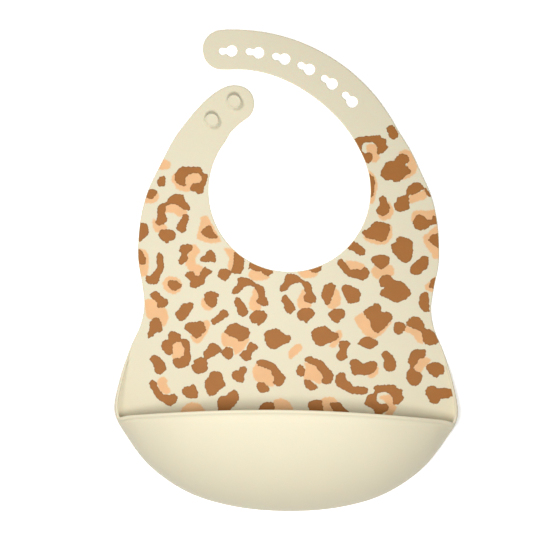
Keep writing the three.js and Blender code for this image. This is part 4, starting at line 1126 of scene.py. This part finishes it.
def add_node(tree, kind, settings=None, inputs=None):
    """Adds a node with its settings, and with values or links on its inputs."""
    node = tree.nodes.new(kind)
    for name, value in (settings or {}).items():
        setattr(node, name, value)
    for name, value in (inputs or {}).items():
        if isinstance(value, bpy.types.NodeSocket):
            tree.links.new(value, node.inputs[name])
        else:
            node.inputs[name].default_value = value
    return node


def silicone(name, colour, inks=()):
    """Platinum-cured silicone, compression moulded in a fine-blasted steel tool.

    The blasting gives the eye a soft, even bloom with no hard highlight, and the rubber lets a
    little light in at thin edges. Inks lie over it in turn, each where its print reaches."""
    made = bpy.data.materials.new(name)
    made.use_nodes = True
    tree = made.node_tree
    tree.nodes.clear()
    place = add_node(tree, "ShaderNodeAttribute", {"attribute_name": "moulded_place"}).outputs["Vector"]
    cloud = add_node(
        tree, "ShaderNodeTexNoise", {}, {"Vector": place, "Scale": 1 / (CLOUD_SIZE * MM), "Detail": 3.0},
    )
    tint = add_node(
        tree, "ShaderNodeMix", {"data_type": "RGBA"},
        {0: cloud.outputs["Fac"], 6: scaled(linear(colour), 1.02), 7: scaled(linear(colour), 0.98)},
    ).outputs[2]
    ragged = add_node(
        tree, "ShaderNodeTexNoise", {}, {"Vector": place, "Scale": 1 / (RAGGED_SIZE * MM), "Detail": 2.5},
    )
    for ink in inks:
        tint = printed(tree, place, ragged.outputs["Fac"], tint, ink)
    grain = add_node(
        tree, "ShaderNodeTexNoise", {}, {"Vector": place, "Scale": 1 / (GRAIN_SIZE * MM), "Detail": 4.0},
    )
    bump = add_node(
        tree, "ShaderNodeBump", {},
        {"Strength": 0.12, "Distance": GRAIN_DEPTH * MM, "Height": grain.outputs["Fac"]},
    )
    surface = add_node(
        tree, "ShaderNodeBsdfPrincipled", {},
        {
            "Base Color": tint,
            "Roughness": 0.62,
            "IOR": 1.41,
            "Normal": bump.outputs["Normal"],
            "Subsurface Weight": 0.12,
            "Subsurface Scale": LIGHT_REACH * MM,
        },
    )
    add_node(tree, "ShaderNodeOutputMaterial", {}, {"Surface": surface.outputs["BSDF"]})
    return made


def scaled(colour, factor):
    """A colour made lighter or darker."""
    return tuple(c * factor for c in colour[:3]) + (1.0,)


def printed(tree, place, ragged, below, ink):
    """Silicone ink pad-printed over a colour: slightly ragged at its edge, and uneven in depth."""
    name, shade, edge_shade, softness = ink
    reach = add_node(tree, "ShaderNodeAttribute", {"attribute_name": name}).outputs["Fac"]
    pooled = add_node(
        tree, "ShaderNodeMapRange", {"interpolation_type": "SMOOTHSTEP"},
        {"Value": reach, "From Min": -POOL_WIDTH, "From Max": 0.0, "To Min": 0.0, "To Max": 0.5},
    )
    wander = add_node(
        tree, "ShaderNodeMath", {"operation": "MULTIPLY_ADD"},
        {0: ragged, 1: 2 * RAGGED_REACH, 2: -RAGGED_REACH},
    )
    edge = add_node(tree, "ShaderNodeMath", {"operation": "ADD"}, {0: reach, 1: wander.outputs[0]})
    cover = add_node(
        tree, "ShaderNodeMapRange", {"interpolation_type": "SMOOTHSTEP"},
        {
            "Value": edge.outputs[0], "From Min": -softness, "From Max": softness,
            "To Min": 1.0, "To Max": 0.0,
        },
    )
    depth = add_node(
        tree, "ShaderNodeTexNoise", {},
        {"Vector": place, "Scale": 1 / (INK_PATCH_SIZE * MM), "Detail": 2.0},
    )
    colour = add_node(
        tree, "ShaderNodeMix", {"data_type": "RGBA"},
        {0: depth.outputs["Fac"], 6: scaled(linear(shade), 0.94), 7: scaled(linear(shade), 1.1)},
    )
    colour = add_node(
        tree, "ShaderNodeMix", {"data_type": "RGBA"},
        {0: pooled.outputs[0], 6: colour.outputs[2], 7: linear(edge_shade)},
    )
    return add_node(
        tree, "ShaderNodeMix", {"data_type": "RGBA"},
        {0: cover.outputs[0], 6: below, 7: colour.outputs[2]},
    ).outputs[2]


# ---------------------------------------------------------------- add-on

class BibSizes(bpy.types.PropertyGroup):
    """Sizes that a user of the bib would change."""

    camera_height: bpy.props.FloatProperty(
        name="Camera height", description="Height of the camera above the table", default=1.5,
        unit="LENGTH",
    )
    view_width: bpy.props.FloatProperty(
        name="View width", description="Width of the table that the picture takes in", default=0.345,
        unit="LENGTH",
    )


class BibColours(bpy.types.PropertyGroup):
    """Colours of the moulding and its print, as sRGB hex codes."""

    cream: bpy.props.StringProperty(
        name="Cream", description="Colour of the silicone", default="#D3CBB1",
    )
    brown: bpy.props.StringProperty(
        name="Brown", description="Colour of the brown ink", default="#985E1E",
    )
    brown_edge: bpy.props.StringProperty(
        name="Brown edge", description="Colour of the brown ink where it pools at its edges",
        default="#6E4A1E",
    )
    peach: bpy.props.StringProperty(
        name="Peach", description="Colour of the peach ink", default="#D8AA7A",
    )
    peach_edge: bpy.props.StringProperty(
        name="Peach edge", description="Colour of the peach ink where it thins at its edges",
        default="#D9B68A",
    )


class BIB_OT_body(bpy.types.Operator):
    """Build the sheet, side rims and pocket"""

    bl_idname = "bib.body"
    bl_label = "Body and pocket"

    def execute(self, context):
        colours = context.scene.bib_colours
        inks = (
            ("peach_print", colours.peach, colours.peach_edge, 0.55),
            ("brown_print", colours.brown, colours.brown_edge, 0.22),
        )
        material = silicone("compression_moulded_silicone_printed", colours.cream, inks)
        made = body_moulding().build("bib_body", material)
        add_print(made)
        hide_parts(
            "lower_panel", "chest_panel", "pocket_wall", "pocket_lip_bead", "left_side_rim",
            "right_side_rim",
        )
        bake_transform(made)
        return {"FINISHED"}


def bend_across(made):
    """Bakes a length of strap's placement into its mesh."""
    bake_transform(made)


def build_strap(kind, length_of, bends, material):
    """Builds a strap's lengths, each a piece of its own, and hides the parts that they replace."""
    for i, (angle, reach) in enumerate(bends):
        body = f"{kind}_strap_length_{i + 1}"
        made = length_of(i).build(body, material)
        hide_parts(f"{kind}_strap_{i + 1}")
        bend_across(made)


class BIB_OT_keyhole_strap(bpy.types.Operator):
    """Build the four lengths of the keyhole strap"""

    bl_idname = "bib.keyhole_strap"
    bl_label = "Keyhole strap"

    def execute(self, context):
        material = silicone("compression_moulded_silicone_strap", context.scene.bib_colours.cream)
        bends = zip(LONG_BENDS, LONG_BEND_REACHES)
        build_strap("keyhole", long_strap_length, bends, material)
        return {"FINISHED"}


class BIB_OT_stud_strap(bpy.types.Operator):
    """Build the two lengths of the stud strap and its studs"""

    bl_idname = "bib.stud_strap"
    bl_label = "Stud strap"

    def execute(self, context):
        material = silicone("compression_moulded_silicone_stud_strap", context.scene.bib_colours.cream)
        bends = zip(SHORT_BENDS, SHORT_BEND_REACHES)
        build_strap("stud", short_strap_length, bends, material)
        for name, angle in zip(("stud_end", "stud_inner"), STUDS_AT):
            place = polar(NECK_CENTRE, STUD_CIRCLE_RADIUS, angle)
            stud = stud_mesh(place).build(f"{name}_moulded", material)
            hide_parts(name)
            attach(stud, "stud_strap_length_2")
        return {"FINISHED"}


# The stage, in metres. The table's top is just clear of the sheet.
TABLE_HALF = 3.0
TABLE_DROP = 0.0003
TABLE_GLOW = 0.42
ROOM_LIGHT = 0.34
# Each softbox's name, place, the point that it faces, its width and its power in watts.
SOFTBOXES = (
    ("overhead_softbox", (-0.02, -0.107, 0.43), (0, -0.05, 0), 0.12, 1.5),
    ("upper_left_softbox", (-0.2, 0.19, 0.37), (-0.045, 0.09, 0), 0.09, 0.62),
)
CAMERA_X = -0.0141
CAMERA_Y = 0.0025
CAMERA_ROLL = 0.85
SENSOR_MM = 36


def softbox(name, place, target, size, power):
    """A square area light that faces a point."""
    light = bpy.data.lights.new(name, "AREA")
    light.shape = "SQUARE"
    light.size = size
    light.energy = power
    lamp = bpy.data.objects.new(name, light)
    lamp.location = place
    lamp.rotation_mode = "QUATERNION"
    lamp.rotation_quaternion = (Vector(target) - lamp.location).to_track_quat("-Z", "Y")
    bpy.context.scene.collection.objects.link(lamp)


def table_top():
    """Matt opal acrylic, cast, of a shooting table that is lit faintly from below.

    The glow fills the shadows beside the bib, so that the eye reads a plain white ground."""
    made = bpy.data.materials.new("matt_cast_opal_acrylic")
    made.use_nodes = True
    shader = made.node_tree.nodes["Principled BSDF"]
    shader.inputs["Base Color"].default_value = linear("#FCFCFC")
    shader.inputs["Roughness"].default_value = 0.9
    shader.inputs["Emission Color"].default_value = (1, 1, 1, 1)
    shader.inputs["Emission Strength"].default_value = TABLE_GLOW
    return made


class BIB_OT_stage(bpy.types.Operator):
    """Build the table, the lights and the camera"""

    bl_idname = "bib.stage"
    bl_label = "Table, lights and camera"

    def execute(self, context):
        scene = context.scene
        sizes = scene.bib_sizes
        scene.view_settings.view_transform = "Standard"
        signs = ((-1, -1), (1, -1), (1, 1), (-1, 1))
        corners = [(x * TABLE_HALF, y * TABLE_HALF, -TABLE_DROP) for x, y in signs]
        mesh = bpy.data.meshes.new("table")
        mesh.from_pydata(corners, [], [(0, 1, 2, 3)])
        mesh.materials.append(table_top())
        table = bpy.data.objects.new("table", mesh)
        scene.collection.objects.link(table)
        world = bpy.data.worlds.new("studio")
        world.use_nodes = True
        background = world.node_tree.nodes["Background"]
        background.inputs["Color"].default_value = (1, 1, 1, 1)
        background.inputs["Strength"].default_value = ROOM_LIGHT
        scene.world = world
        for settings in SOFTBOXES:
            softbox(*settings)
        camera = bpy.data.cameras.new("camera")
        camera.sensor_width = SENSOR_MM
        camera.lens = camera.sensor_width * sizes.camera_height / sizes.view_width
        eye = bpy.data.objects.new("camera", camera)
        eye.matrix_world = (
            Matrix.Translation((CAMERA_X, CAMERA_Y, sizes.camera_height))
            @ Matrix.Rotation(math.radians(CAMERA_ROLL), 4, "Z")
        )
        scene.collection.objects.link(eye)
        scene.camera = eye
        return {"FINISHED"}


class BIB_PT_pieces(bpy.types.Panel):
    """The bib's pieces and sizes"""

    bl_idname = "BIB_PT_pieces"
    bl_label = "Silicone bib"
    bl_space_type = "VIEW_3D"
    bl_region_type = "UI"
    bl_category = "Bib"

    def draw(self, context):
        layout = self.layout
        for group in (context.scene.bib_sizes, context.scene.bib_colours):
            for name in group.__annotations__:
                layout.prop(group, name)
        for operator in OPERATORS:
            layout.operator(operator.bl_idname)


OPERATORS = (BIB_OT_body, BIB_OT_keyhole_strap, BIB_OT_stud_strap, BIB_OT_stage)
CLASSES = (BibSizes, BibColours, *OPERATORS, BIB_PT_pieces)


def register():
    for item in CLASSES:
        bpy.utils.register_class(item)
    bpy.types.Scene.bib_sizes = bpy.props.PointerProperty(type=BibSizes)
    bpy.types.Scene.bib_colours = bpy.props.PointerProperty(type=BibColours)


def unregister():
    del bpy.types.Scene.bib_colours
    del bpy.types.Scene.bib_sizes
    for item in reversed(CLASSES):
        bpy.utils.unregister_class(item)


def main():
    register()
    bpy.ops.bib.body()
    bpy.ops.bib.keyhole_strap()
    bpy.ops.bib.stud_strap()
    bpy.ops.bib.stage()


if __name__ == "__main__":
    main()
